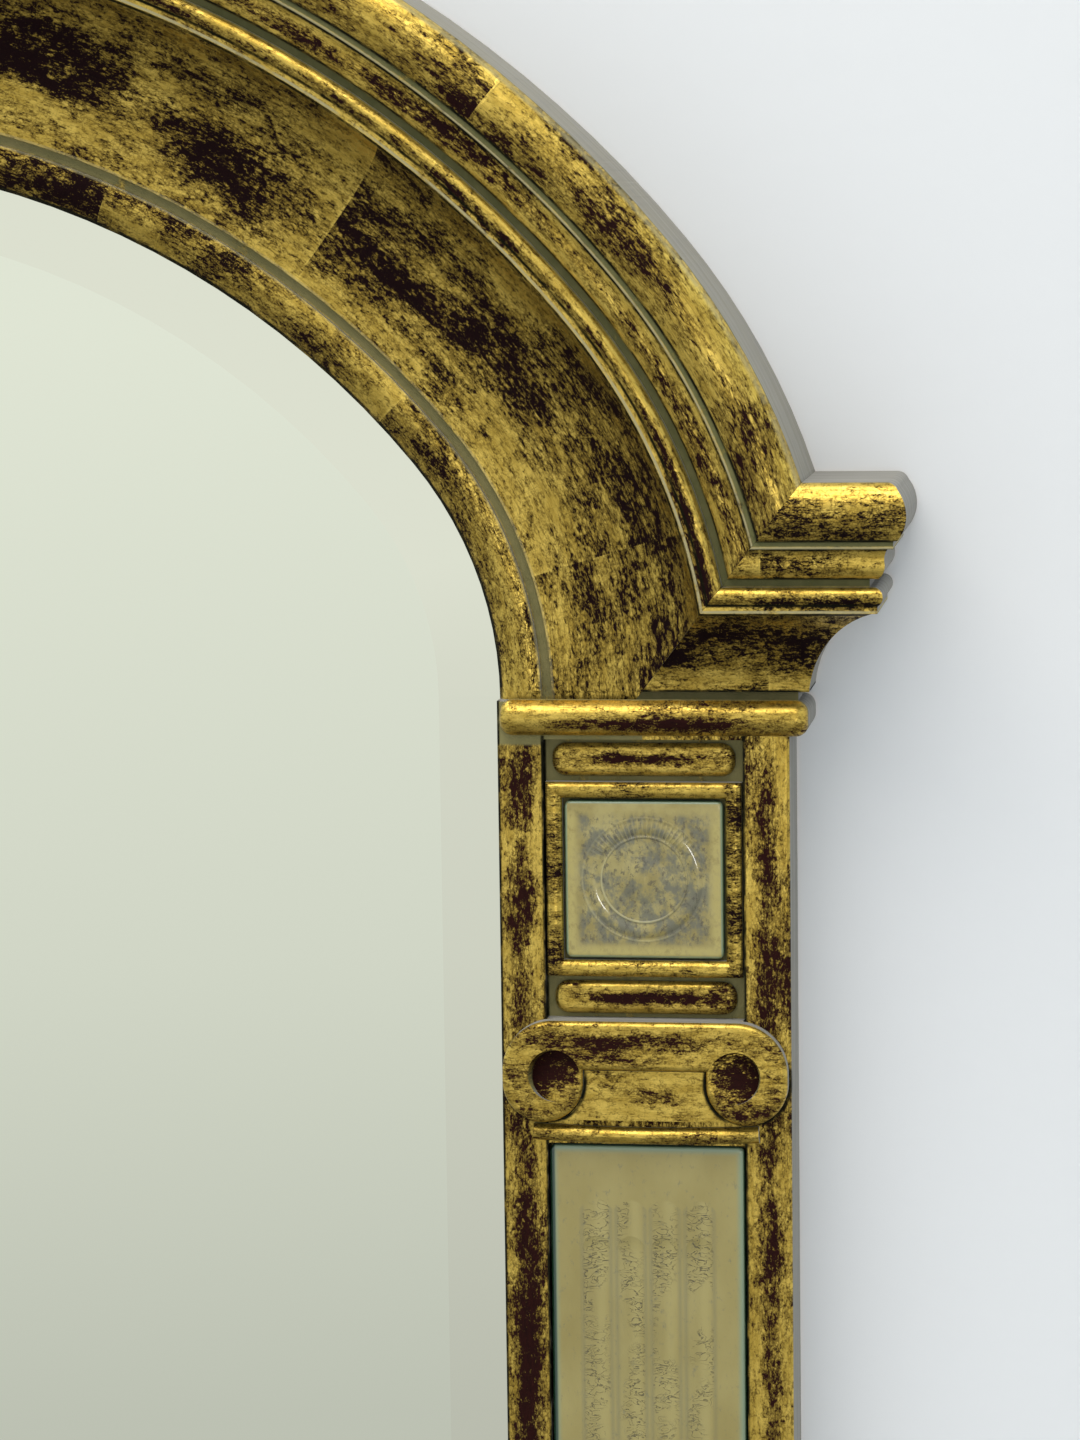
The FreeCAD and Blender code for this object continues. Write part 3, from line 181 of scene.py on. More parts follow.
# Painted shadow along the edges of the glass
GLASS_EDGE_SHADE = (0.010, 0.038, 0.018, 1)
MIRROR_TINT = (0.985, 0.985, 0.795, 1)
BEVEL_TINT = (0.945, 0.925, 0.745, 1)
BOARD_LIGHT = (0.165, 0.088, 0.042, 1)
BOARD_DARK = (0.085, 0.042, 0.020, 1)
BRASS_LIGHT = (0.60, 0.42, 0.15, 1)
BRASS_DARK = (0.27, 0.17, 0.06, 1)
STEEL_LIGHT = (0.58, 0.58, 0.57, 1)
STEEL_DARK = (0.28, 0.28, 0.29, 1)
BEECH_LIGHT = (0.50, 0.33, 0.17, 1)
BEECH_DARK = (0.33, 0.19, 0.085, 1)
RAW_LIGHT = (0.36, 0.235, 0.125, 1)
RAW_DARK = (0.20, 0.115, 0.055, 1)
WALL_WHITE = (0.78, 0.785, 0.787, 1)
FLOOR_PALE = (0.58, 0.575, 0.56, 1)

# Laps: how long a laid square of leaf is on the arch, on a small piece and on a stile

LEAF_LENGTH = 0.135
WHOLE = 0.5
LONG = 2.0

# Worn leaf: scales of its marks along and across a moulding, per metre, and how far each kind counts

PATCH_SCALES = (20.0, 48.0, 1.0)
STREAK_SCALES = (260.0, 1000.0, 1.0)
SPECKLE_SCALES = (1100.0, 1500.0, 1.0)
CRAZE_SCALES = (430.0, 620.0, 1.0)
SCRATCH_SCALES = (40.0, 1700.0, 1.0)
CROSS_SCALES = (1500.0, 90.0, 1.0)
TONE_SCALES = (90.0, 260.0, 1.0)
PATCH_SPREAD = 3.0
SQUARE_SPREAD = 0.12
SQUARE_JUMP = 7.0
STREAK_SHARE = 0.50
SPECKLE_SHARE = 0.40
FLAKE_SHARE = 0.14
GRAIN_SHIFT = -0.02
LEAF_WHOLE = 0.655
LEAF_WORN = 0.345
LEAF_RELIEF = 0.00012
LEAF_SPECULAR = 0.03
SECOND_SEED = 0.43

# Glass: scales of its haze, specks and marks

SHAFT_HAZE_SCALES = (45.0, 45.0, 22.0)
SHAFT_SPECK_SCALES = (420.0, 420.0, 260.0)
MARK_SCALES = (190.0, 1.0, 420.0)
MARK_GROUP_SCALES = (74.0, 1.0, 30.0)
ROSETTE_HAZE_SCALES = (70.0, 70.0, 70.0)
ROSETTE_SPECK_SCALES = (520.0, 520.0, 380.0)
BLOT_SCALES = (120.0, 120.0, 95.0)
PLATE_HAZE_SCALES = (14.0, 14.0, 14.0)

# Wash, side faces and the bare wood of the back

CLOUD_SCALES = (90.0, 90.0, 90.0)
DRAWN_SCALES = (16.0, 420.0, 16.0)
GRAIN_SCALES = (11.0, 240.0, 240.0)
PALE_OFF = 0.032
GREEN_OFF = 0.048
WASH_ROUGHNESS = 0.62


# Node helpers


def give(tree, socket, value):
    """Links a socket to another one, or sets its value."""
    if isinstance(value, bpy.types.NodeSocket):
        tree.links.new(value, socket)
    else:
        socket.default_value = value


def add(tree, kind, inputs=None, **settings):
    """Adds a node, sets it up, and gives its inputs values or links."""
    node = tree.nodes.new(kind)
    for key, value in settings.items():
        setattr(node, key, value)
    for key, value in (inputs or {}).items():
        give(tree, node.inputs[key], value)
    return node


def calc(tree, operation, *values, clamp=False):
    node = add(tree, "ShaderNodeMath", dict(enumerate(values)), operation=operation, use_clamp=clamp)
    return node.outputs[0]


def product(tree, first, *others):
    for value in others:
        first = calc(tree, "MULTIPLY", first, value)
    return first


def largest(tree, first, *others):
    for value in others:
        first = calc(tree, "MAXIMUM", first, value)
    return first


def between(tree, share, first, second):
    """A number between two, by a share from 0 to 1."""
    node = add(tree, "ShaderNodeMix", {0: share, 2: first, 3: second}, data_type="FLOAT")
    return node.outputs[0]


def blended(tree, share, first, second):
    """A colour between two, by a share from 0 to 1."""
    node = add(tree, "ShaderNodeMix", {0: share, 6: first, 7: second}, data_type="RGBA")
    return node.outputs[2]


def ease(tree, value, start, stop):
    """Rises softly from 0 to 1 while the value goes from start to stop."""
    inputs = {"Value": value, "From Min": start, "From Max": stop}
    return add(tree, "ShaderNodeMapRange", inputs, interpolation_type="SMOOTHSTEP").outputs[0]


def hump(tree, value, middle, half_width, soft):
    """1 within a half width of the middle, falling softly to 0 outside it."""
    distance = calc(tree, "ABSOLUTE", calc(tree, "SUBTRACT", value, middle))
    return ease(tree, distance, half_width + soft, half_width - soft)


def vector(tree, x, y, z):
    return add(tree, "ShaderNodeCombineXYZ", {0: x, 1: y, 2: z}).outputs[0]


def parts_of(tree, place):
    """The three coordinates of a vector."""
    return add(tree, "ShaderNodeSeparateXYZ", {0: place}).outputs


def scaled(tree, place, scales):
    return add(tree, "ShaderNodeVectorMath", {0: place, 1: scales}, operation="MULTIPLY").outputs[0]


def length_of(tree, x, y):
    node = add(tree, "ShaderNodeVectorMath", {0: vector(tree, x, y, 0.0)}, operation="LENGTH")
    return node.outputs["Value"]


def noise(tree, place, detail=2.0, roughness=0.5, distortion=0.0):
    inputs = {
        "Vector": place,
        "Scale": 1.0,
        "Detail": detail,
        "Roughness": roughness,
        "Distortion": distortion,
    }
    return add(tree, "ShaderNodeTexNoise", inputs).outputs[0]


def cells(tree, place, feature):
    """The outputs of a pattern of ragged cells, as in crazed leaf."""
    ragged = add(tree, "ShaderNodeTexNoise", {"Vector": place, "Scale": 0.9, "Detail": 1.0}).outputs["Color"]
    bent = add(tree, "ShaderNodeVectorMath", {0: place, 1: ragged}, operation="ADD").outputs[0]
    return add(tree, "ShaderNodeTexVoronoi", {"Vector": bent, "Scale": 1.0}, feature=feature).outputs


def stepped(tree, value, stops):
    """A number that follows stops of (value, number), straight between them."""
    low = stops[0][0]
    high = stops[-1][0]
    share = add(tree, "ShaderNodeMapRange", {"Value": value, "From Min": low, "From Max": high}).outputs[0]
    node = add(tree, "ShaderNodeValToRGB", {0: share})
    points = node.color_ramp.elements
    while len(points) < len(stops):
        points.new(1.0)
    for point, (at, number) in zip(points, stops):
        point.position = (at - low) / (high - low)
        point.color = (number, number, number, 1)
    return node.outputs[0]


def new_group(name, inputs, outputs):
    """An empty shader node group with named sockets, and its two ends."""
    tree = bpy.data.node_groups.new(name, "ShaderNodeTree")
    for label, kind in inputs.items():
        tree.interface.new_socket(label, in_out="INPUT", socket_type=f"NodeSocket{kind}")
    for label, kind in outputs.items():
        tree.interface.new_socket(label, in_out="OUTPUT", socket_type=f"NodeSocket{kind}")
    start = tree.nodes.new("NodeGroupInput").outputs
    end = tree.nodes.new("NodeGroupOutput").inputs
    return tree, start, end


def use(tree, group, **inputs):
    """Places a shared effect in a material, and gives its outputs."""
    node = tree.nodes.new("ShaderNodeGroup")
    node.node_tree = group
    for key, value in inputs.items():
        give(tree, node.inputs[key], value)
    return node.outputs


# Shared effects


def make_arch_run():
    """Coordinates that follow the arch: along it from the top, out from the sight edge, and off the wall."""
    tree, start, end = new_group("arch_run", {"Place": "Vector"}, {"Run": "Vector"})
    x, y, z = parts_of(tree, start["Place"])
    side = calc(tree, "ABSOLUTE", x)
    rise = calc(tree, "SUBTRACT", z, SPRING)
    haunch_side = calc(tree, "SUBTRACT", side, HAUNCH_ACROSS)
    crown_rise = calc(tree, "ADD", rise, CENTRE_DROP)
    haunch_turn = calc(tree, "ARCTAN2", rise, haunch_side)
    crown_turn = calc(tree, "ARCTAN2", crown_rise, side)
    in_crown = calc(tree, "GREATER_THAN", crown_turn, ARCH_TURN)
    haunch_out = calc(tree, "SUBTRACT", length_of(tree, haunch_side, rise), HAUNCH_RADIUS)
    crown_out = calc(tree, "SUBTRACT", length_of(tree, side, crown_rise), CROWN_RADIUS)
    haunch_way = calc(tree, "MULTIPLY", haunch_turn, HAUNCH_RADIUS)
    over_crown = calc(tree, "SUBTRACT", crown_turn, ARCH_TURN)
    crown_way = calc(tree, "MULTIPLY_ADD", over_crown, CROWN_RADIUS, HAUNCH_LENGTH)
    way = calc(tree, "SUBTRACT", QUARTER_LENGTH, between(tree, in_crown, haunch_way, crown_way))
    along = calc(tree, "MULTIPLY", way, calc(tree, "SIGN", x))
    out = between(tree, in_crown, haunch_out, crown_out)
    tree.links.new(vector(tree, along, out, calc(tree, "MULTIPLY", y, -1.0)), end["Run"])
    return tree


def make_worn_leaf():
    """Metal leaf in laid squares, rubbed through in streaks to the bole under it."""
    inputs = {"Run": "Vector", "Wear": "Float", "Seed": "Float", "Lap": "Float", "Red": "Float"}
    outputs = {"Colour": "Color", "Leaf": "Float", "Roughness": "Float", "Height": "Float"}
    tree, start, end = new_group("worn_leaf", inputs, outputs)
    along, across, off = parts_of(tree, start["Run"])
    seed = start["Seed"]
    count = calc(tree, "ADD", calc(tree, "DIVIDE", along, start["Lap"]), seed)
    square = calc(tree, "FLOOR", count)
    chance = add(tree, "ShaderNodeTexWhiteNoise", {"W": square}, noise_dimensions="1D").outputs["Value"]
    jump = product(tree, chance, SQUARE_JUMP)
    shifted = vector(tree, along, across, calc(tree, "ADD", off, calc(tree, "ADD", seed, jump)))
    smooth = vector(tree, along, across, calc(tree, "ADD", off, seed))

    patch = noise(tree, scaled(tree, shifted, PATCH_SCALES), detail=5.0, roughness=0.66)
    streak = noise(tree, scaled(tree, smooth, STREAK_SCALES), detail=3.0, roughness=0.7)
    speckle = noise(tree, scaled(tree, smooth, SPECKLE_SCALES), detail=2.0, roughness=0.6)
    crazed = scaled(tree, smooth, CRAZE_SCALES)
    flake = parts_of(tree, cells(tree, crazed, "F1")["Color"])[0]
    crack = cells(tree, crazed, "DISTANCE_TO_EDGE")["Distance"]
    scratch = noise(tree, scaled(tree, smooth, SCRATCH_SCALES), detail=2.0)
    cross = noise(tree, scaled(tree, smooth, CROSS_SCALES), detail=2.0)

    lean = product(tree, calc(tree, "SUBTRACT", patch, 0.5), PATCH_SPREAD)
    lean = calc(tree, "ADD", lean, product(tree, calc(tree, "SUBTRACT", chance, 0.5), SQUARE_SPREAD))
    rubbed = calc(tree, "ADD", start["Wear"], lean, clamp=True)
    grain = calc(tree, "ADD", product(tree, streak, STREAK_SHARE), product(tree, speckle, SPECKLE_SHARE))
    grain = calc(tree, "MULTIPLY_ADD", flake, FLAKE_SHARE, calc(tree, "ADD", grain, GRAIN_SHIFT))
    above = calc(tree, "SUBTRACT", grain, between(tree, rubbed, LEAF_WHOLE, LEAF_WORN))
    bole = ease(tree, above, -0.04, 0.06)
    line = ease(tree, crack, 0.16, 0.03)
    line = calc(tree, "MULTIPLY", line, between(tree, rubbed, 0.12, 1.0))
    mesh = calc(tree, "MAXIMUM", ease(tree, scratch, 0.58, 0.72), ease(tree, cross, 0.60, 0.74))
    mesh = calc(tree, "MULTIPLY", mesh, between(tree, rubbed, 0.30, 0.9))
    bole = largest(tree, bole, line, mesh)
    thin = calc(tree, "MULTIPLY", ease(tree, above, -0.19, 0.01), 0.85)
    leaf = calc(tree, "SUBTRACT", 1.0, bole)

    part = calc(tree, "FRACT", count)
    lap_line = calc(tree, "MULTIPLY", calc(tree, "PINGPONG", part, 0.5), start["Lap"])
    lap_mark = ease(tree, lap_line, 0.0009, 0.0003)

    cloud = noise(tree, scaled(tree, smooth, TONE_SCALES), detail=5.0, roughness=0.7)
    tone = ease(tree, cloud, 0.32, 0.68)
    tone = calc(tree, "ADD", tone, calc(tree, "MULTIPLY", lap_mark, 0.4), clamp=True)
    gold = blended(tree, thin, blended(tree, tone, GOLD_DEEP, GOLD_LIGHT), GOLD_THIN)
    under = blended(tree, calc(tree, "MULTIPLY", start["Red"], streak), BOLE_DARK, BOLE_RED)
    tree.links.new(blended(tree, bole, gold, under), end["Colour"])
    tree.links.new(leaf, end["Leaf"])
    gloss = between(tree, bole, between(tree, scratch, 0.26, 0.46), 0.55)
    tree.links.new(gloss, end["Roughness"])
    height = calc(tree, "ADD", calc(tree, "MULTIPLY", leaf, 0.6), calc(tree, "MULTIPLY", scratch, 0.4))
    tree.links.new(calc(tree, "ADD", height, calc(tree, "MULTIPLY", lap_mark, 0.6)), end["Height"])
    return tree


def make_side_wash():
    """Grey-green wash in recesses and on faces that look aside, dirt and painted shade in the quirks, pale
    arrises that are partly rubbed leaf and partly painted highlight, bare wood at the back.
    """
    inputs = {
        "Colour": "Color",
        "Leaf": "Float",
        "Roughness": "Float",
        "Recess": "Float",
        "Arris": "Float",
        "Dirt": "Float",
        "Place": "Vector",
        "Run": "Vector",
    }
    outputs = {"Colour": "Color", "Metal": "Float", "Roughness": "Float"}
    tree, start, end = new_group("side_wash", inputs, outputs)
    normal = add(tree, "ShaderNodeNewGeometry").outputs["Normal"]
    forward = calc(tree, "MULTIPLY", parts_of(tree, normal)[1], -1.0)
    cloud = noise(tree, scaled(tree, start["Place"], CLOUD_SCALES), detail=4.0, roughness=0.65)
    fibres = scaled(tree, start["Run"], GRAIN_SCALES)
    grain = noise(tree, fibres, detail=5.0, roughness=0.6, distortion=0.4)
    edge = calc(tree, "ADD", forward, calc(tree, "MULTIPLY", calc(tree, "SUBTRACT", cloud, 0.5), 0.3))
    turned = ease(tree, edge, 0.32, 0.06)
    laid = calc(tree, "MULTIPLY", start["Recess"], ease(tree, cloud, 0.22, 0.42))
    wash = calc(tree, "MAXIMUM", turned, laid)
    low = ease(tree, parts_of(tree, start["Place"])[1], -GREEN_OFF, -PALE_OFF)
    pale = calc(tree, "MULTIPLY_ADD", low, 0.6, calc(tree, "MULTIPLY", ease(tree, cloud, 0.3, 0.7), 0.4))
    grey = blended(tree, pale, WASH_GREEN, WASH_GREY)
    drawn = noise(tree, scaled(tree, start["Place"], DRAWN_SCALES), detail=4.0)
    side = blended(tree, ease(tree, drawn, 0.36, 0.66), SIDE_BROWN, SIDE_GREY)
    grey = blended(tree, ease(tree, forward, 0.1, 0.0), grey, side)
    raw = blended(tree, ease(tree, grain, 0.35, 0.65), RAW_DARK, RAW_LIGHT)
    grey = blended(tree, ease(tree, forward, -0.6, -0.8), grey, raw)
    colour = blended(tree, wash, start["Colour"], grey)
    front = ease(tree, forward, -0.3, 0.0)
    # Pale arrises: partly leaf rubbed to the ground, partly painted highlight
    rubbed = product(tree, start["Arris"], front, ease(tree, cloud, 0.25, 0.5))
    colour = blended(tree, rubbed, colour, ARRIS_RUBBED_AND_HIGHLIGHT)
    # Dirt and painted shade: darkens the quirk lines on faces that look forward
    dirt_and_shade = product(tree, start["Dirt"], front, ease(tree, cloud, 0.15, 0.55))
    tree.links.new(blended(tree, dirt_and_shade, colour, DIRT_AND_SHADE), end["Colour"])
    bare = calc(tree, "SUBTRACT", 1.0, calc(tree, "MAXIMUM", wash, dirt_and_shade))
    bare = calc(tree, "MULTIPLY", bare, calc(tree, "MULTIPLY_ADD", rubbed, -0.6, 1.0))
    tree.links.new(calc(tree, "MULTIPLY", start["Leaf"], bare), end["Metal"])
    tree.links.new(between(tree, wash, start["Roughness"], WASH_ROUGHNESS), end["Roughness"])
    return tree


ARCH_RUN = make_arch_run()
WORN_LEAF = make_worn_leaf()
SIDE_WASH = make_side_wash()


# Ways that a moulding's coordinates run


def arch_run(tree, place):
    return use(tree, ARCH_RUN, Place=place)["Run"]


def upright_run(tree, place):
    x, y, z = parts_of(tree, place)
    return vector(tree, z, x, calc(tree, "MULTIPLY", y, -1.0))


def level_run(tree, place):
    x, y, z = parts_of(tree, place)
    return vector(tree, x, z, calc(tree, "MULTIPLY", y, -1.0))


# Where the leaf is worn, where the wash lies, and where shade and highlights are painted


def lines_at(tree, value, places, half_width):
    """1 on thin lines at the given places, and 0 between them."""
    soft = half_width * 0.6
    return largest(tree, 0.0, *(hump(tree, value, place, half_width, soft) for place in places))


def arch_wear(tree, run):
    """More wear in the cove's middle and on the band, less along the arrises, the bead and the rim."""
    out = parts_of(tree, run)[1]
    return stepped(tree, out, ARCH_WEAR)


def arch_recess(tree, run):
    """The two quirks of the arch, and the step under its ovolo."""
    out = parts_of(tree, run)[1]
    return largest(tree, *(hump(tree, out, *recess) for recess in ARCH_RECESSES))


def arch_dirt_and_shade(tree, run):
    """Dirt and painted shade: dark lines along the steps of the mouldings, and a painted shadow and
    reflection of the rebate at the sight edge.
    """
    out = parts_of(tree, run)[1]
    # Painted shadow and reflection of the rebate: a dark line along the sight edge
    sight_edge = ease(tree, out, 0.0018, 0.0010)
    return largest(tree, sight_edge, lines_at(tree, out, ARCH_DIRT_AND_SHADE_LINES, DIRT_AND_SHADE_HALF))


def arch_arris(tree, run):
    """Pale lines on the arrises: partly leaf rubbed off them, partly painted highlight, most of all on the
    steps and the rim.
    """
    out = parts_of(tree, run)[1]
    groove = product(tree, lines_at(tree, out, ARCH_GROOVE_ARRISES, ARRIS_HALF), 0.35)
    steps = lines_at(tree, out, ARCH_STEP_ARRISES, ARRIS_HALF)
    rim = product(tree, hump(tree, out, *ARCH_RIM), 0.6)
    return largest(tree, groove, steps, rim)


def return_rise(tree, run):
    return calc(tree, "SUBTRACT", parts_of(tree, run)[1], SPRING)


def return_wear(tree, run):
    return stepped(tree, return_rise(tree, run), RETURN_WEAR)


def return_recess(tree, run):
    """The strip at a return's foot, its quirk, and the step under its ovolo."""
    rise = return_rise(tree, run)
    foot = ease(tree, rise, 0.0042, 0.0034)
    return largest(tree, foot, *(hump(tree, rise, *recess) for recess in RETURN_RECESSES))


# Dirt and painted shade: dark lines at the return's quirks and steps
def return_dirt_and_shade(tree, run):
    return lines_at(tree, return_rise(tree, run), RETURN_DIRT_AND_SHADE_LINES, DIRT_AND_SHADE_HALF)


# Pale lines on the return's arrises: partly rubbed leaf, partly painted highlight
def return_arris(tree, run):
    return lines_at(tree, return_rise(tree, run), RETURN_ARRISES, ARRIS_HALF)


def stile_wear(tree, run):
    """A dark streak down the middle of each margin, broader beside the shaft."""
    along, across, off = parts_of(tree, run)
    side = calc(tree, "ABSOLUTE", across)
    inner = hump(tree, side, SIGHT_HALF + MARGIN_WIDTH / 2, 0.0040, 0.0036)
    outer = hump(tree, side, STILE_OUTER - MARGIN_WIDTH / 2, 0.0036, 0.0034)
    streak = largest(tree, product(tree, inner, 1.15), outer)
    beside_shaft = ease(tree, along, glass_high.z - 0.004, glass_high.z - 0.020)
    inner_side = calc(tree, "LESS_THAN", side, STILE_MIDDLE)
    base = calc(tree, "MULTIPLY_ADD", beside_shaft, between(tree, inner_side, -0.26, 0.08), 0.20)
    streak = product(tree, streak, ease(tree, along, SPRING - 0.018, SPRING - 0.034))
    return calc(tree, "MULTIPLY_ADD", streak, 0.50, base)


def stile_recess(tree, run):
    """The floors of the sunk panels, and the strip under the astragal."""
    along, across, off = parts_of(tree, run)
    floor = ease(tree, off, PANEL_OFF + 0.002, PANEL_OFF + 0.001)
    strip = ease(tree, along, SPRING - 0.0176, SPRING - 0.0160)
    inner_side = calc(tree, "LESS_THAN", calc(tree, "ABSOLUTE", across), STILE_MIDDLE)
    return largest(tree, floor, product(tree, strip, inner_side))


def from_pair(tree, across, up, side, drop):
    """How far a place is from the nearest of a pair of points on the scroll."""
    from_middle = calc(tree, "SUBTRACT", calc(tree, "ABSOLUTE", across), STILE_MIDDLE)
    level = calc(tree, "SUBTRACT", calc(tree, "ABSOLUTE", from_middle), side)
    return length_of(tree, level, calc(tree, "SUBTRACT", up, scroll_high.z - drop))


def volute_shadow_line(tree, across, up):
    """A painted shadow line round each volute, below the band."""
    distance = from_pair(tree, across, up, VOLUTE_SIDE, VOLUTE_DROP)
    below = ease(tree, up, scroll_high.z - 0.011, scroll_high.z - 0.016)
    return product(tree, hump(tree, distance, VOLUTE_RADIUS + 0.0006, 0.0009, 0.0006), below)


def stile_dirt_and_shade(tree, run):
    """Dirt and painted shade: dark lines along the sight edge and the edges of the panels, and a painted
    shadow round the volutes.
    """
    along, across, off = parts_of(tree, run)
    side = calc(tree, "ABSOLUTE", across)
    # Painted shadow and reflection of the rebate along the sight edge
    sight_edge = ease(tree, side, SIGHT_HALF + 0.0014, SIGHT_HALF + 0.0008)
    panel_edges = lines_at(tree, side, (SIGHT_HALF + MARGIN_WIDTH, STILE_OUTER - MARGIN_WIDTH), 0.0007)
    near_front = ease(tree, off, STILE_OFF - 0.006, STILE_OFF - 0.001)
    lines = largest(tree, sight_edge, volute_shadow_line(tree, across, along))
    return largest(tree, product(tree, lines, near_front), panel_edges)


# Painted shadow round the volutes, on the echinus
def echinus_volute_shadow(tree, run):
    return volute_shadow_line(tree, *parts_of(tree, run)[:2])


def bar_wear(low, high, ends, strength, base, height):
    """Wear in a streak along the middle of a level bar, clear of its ends."""
    tall = high - low

    def wear(tree, run):
        along, across, off = parts_of(tree, run)
        side = calc(tree, "ABSOLUTE", along)
        middle = hump(tree, side, STILE_MIDDLE, ends, 0.012)
        line = hump(tree, across, low + tall * height, tall * 0.16, tall * 0.14)
        return calc(tree, "MULTIPLY_ADD", product(tree, middle, line), strength, base)

    return wear


def in_volute(tree, up):
    """1 from the middle of the eyes down, 0 along the band over them."""
    return ease(tree, up, scroll_high.z - EYE_DROP + EYE_RADIUS * 0.6, scroll_high.z - EYE_DROP)


def scroll_wear(tree, run):
    """A dark streak along the band, and eyes rubbed down to the bole, with painted shade that deepens into
    each eye's dish.
    """
    along, across, off = parts_of(tree, run)
    side = calc(tree, "ABSOLUTE", along)
    middle = hump(tree, side, STILE_MIDDLE, 0.026, 0.016)
    band = hump(tree, across, scroll_high.z - 0.0075, 0.0030, 0.0030)
    eye = from_pair(tree, along, across, EYE_SIDE, EYE_DROP)
    in_eye = ease(tree, eye, EYE_RADIUS + 0.0002, EYE_RADIUS - 0.0002)
    # Painted shade: darker the deeper a place lies in the eye's dish
    eye_depth_shade = ease(tree, off, -scroll_low.y - 0.0002, -scroll_low.y - 0.0042)
    dark = product(tree, in_eye, eye_depth_shade)
    centre = from_pair(tree, along, across, VOLUTE_SIDE, VOLUTE_DROP)
    volute = ease(tree, centre, VOLUTE_RADIUS, VOLUTE_RADIUS * 0.8)
    wear = calc(tree, "MULTIPLY_ADD", product(tree, middle, band), 0.62, 0.10)
    wear = calc(tree, "MULTIPLY_ADD", product(tree, volute, in_volute(tree, across)), 0.34, wear)
    return calc(tree, "MULTIPLY_ADD", dark, 0.75, wear)


def bezel_wear(tree, run):
    """More wear on the upright sides than on the level ones."""
    side = calc(tree, "ABSOLUTE", parts_of(tree, run)[0])
    reach = calc(tree, "ABSOLUTE", calc(tree, "SUBTRACT", side, STILE_MIDDLE))
    return calc(tree, "MULTIPLY_ADD", ease(tree, reach, 0.0310, 0.0330), 0.40, 0.02)


def even_wear(amount):
    def wear(tree, run):
        return amount

    return wear


def none(tree, run):
    return 0.0


# Materials


def new_material(name):
    material = bpy.data.materials.new(name)
    material.use_nodes = True
    tree = material.node_tree
    tree.nodes.clear()
    shader = tree.nodes.new("ShaderNodeBsdfPrincipled")
    output = tree.nodes.new("ShaderNodeOutputMaterial")
    tree.links.new(shader.outputs[0], output.inputs["Surface"])
    place = tree.nodes.new("ShaderNodeTexCoord").outputs["Object"]
    return material, tree, shader, place


def feed(tree, shader, **inputs):
    """Gives the shader's sockets values or links, by their names with underscores for spaces."""
    for key, value in inputs.items():
        give(tree, shader.inputs[key.replace("_", " ")], value)


def bumped(tree, height, depth, strength=1.0):
    return add(tree, "ShaderNodeBump", {"Height": height, "Distance": depth, "Strength": strength}).outputs[0]


def gilded(
    name,
    run_of,
    wear,
    recess=none,
    dirt_and_shade=none,
    arris=none,
    seed=0.0,
    red=0.25,
    second=None,
    lap=LEAF_LENGTH,
):
    """Worn gilding. Farther out than the second place, the leaf is laid afresh."""
    material, tree, shader, place = new_material(name)
    run = run_of(tree, place)
    if second:
        past = calc(tree, "GREATER_THAN", parts_of(tree, run)[1], second)
        seed = calc(tree, "MULTIPLY_ADD", past, SECOND_SEED, seed)
    leaf = use(tree, WORN_LEAF, Run=run, Wear=wear(tree, run), Seed=seed, Lap=lap, Red=red)
    washed = use(
        tree,
        SIDE_WASH,
        Colour=leaf["Colour"],
        Leaf=leaf["Leaf"],
        Roughness=leaf["Roughness"],
        Recess=recess(tree, run),
        Arris=arris(tree, run),
        Dirt=dirt_and_shade(tree, run),
        Place=place,
        Run=run,
    )
    feed(
        tree,
        shader,
        Base_Color=washed["Colour"],
        Metallic=washed["Metal"],
        Roughness=washed["Roughness"],
        Specular_IOR_Level=LEAF_SPECULAR,
        Normal=bumped(tree, leaf["Height"], LEAF_RELIEF),
    )
    return material


def pressed_glass(name, pattern):
    """Thick pressed glass over a bed of aged leaf: the bed shows through a glossy face."""
    material, tree, shader, place = new_material(name)
    colour, height = pattern(tree, place)
    feed(
        tree,
        shader,
        Base_Color=colour,
        Roughness=0.35,
        Coat_Weight=1.0,
        Coat_Roughness=0.06,
        Normal=bumped(tree, height, GLASS_RELIEF),
    )
    return material


def glass_edge(tree, across, up, half_width, low, high):
    """How far a place on the glass is from its nearest edge."""
    side = calc(tree, "SUBTRACT", half_width, calc(tree, "ABSOLUTE", across))
    ends = calc(tree, "MINIMUM", calc(tree, "SUBTRACT", high, up), calc(tree, "SUBTRACT", up, low))
    return calc(tree, "MINIMUM", side, ends)


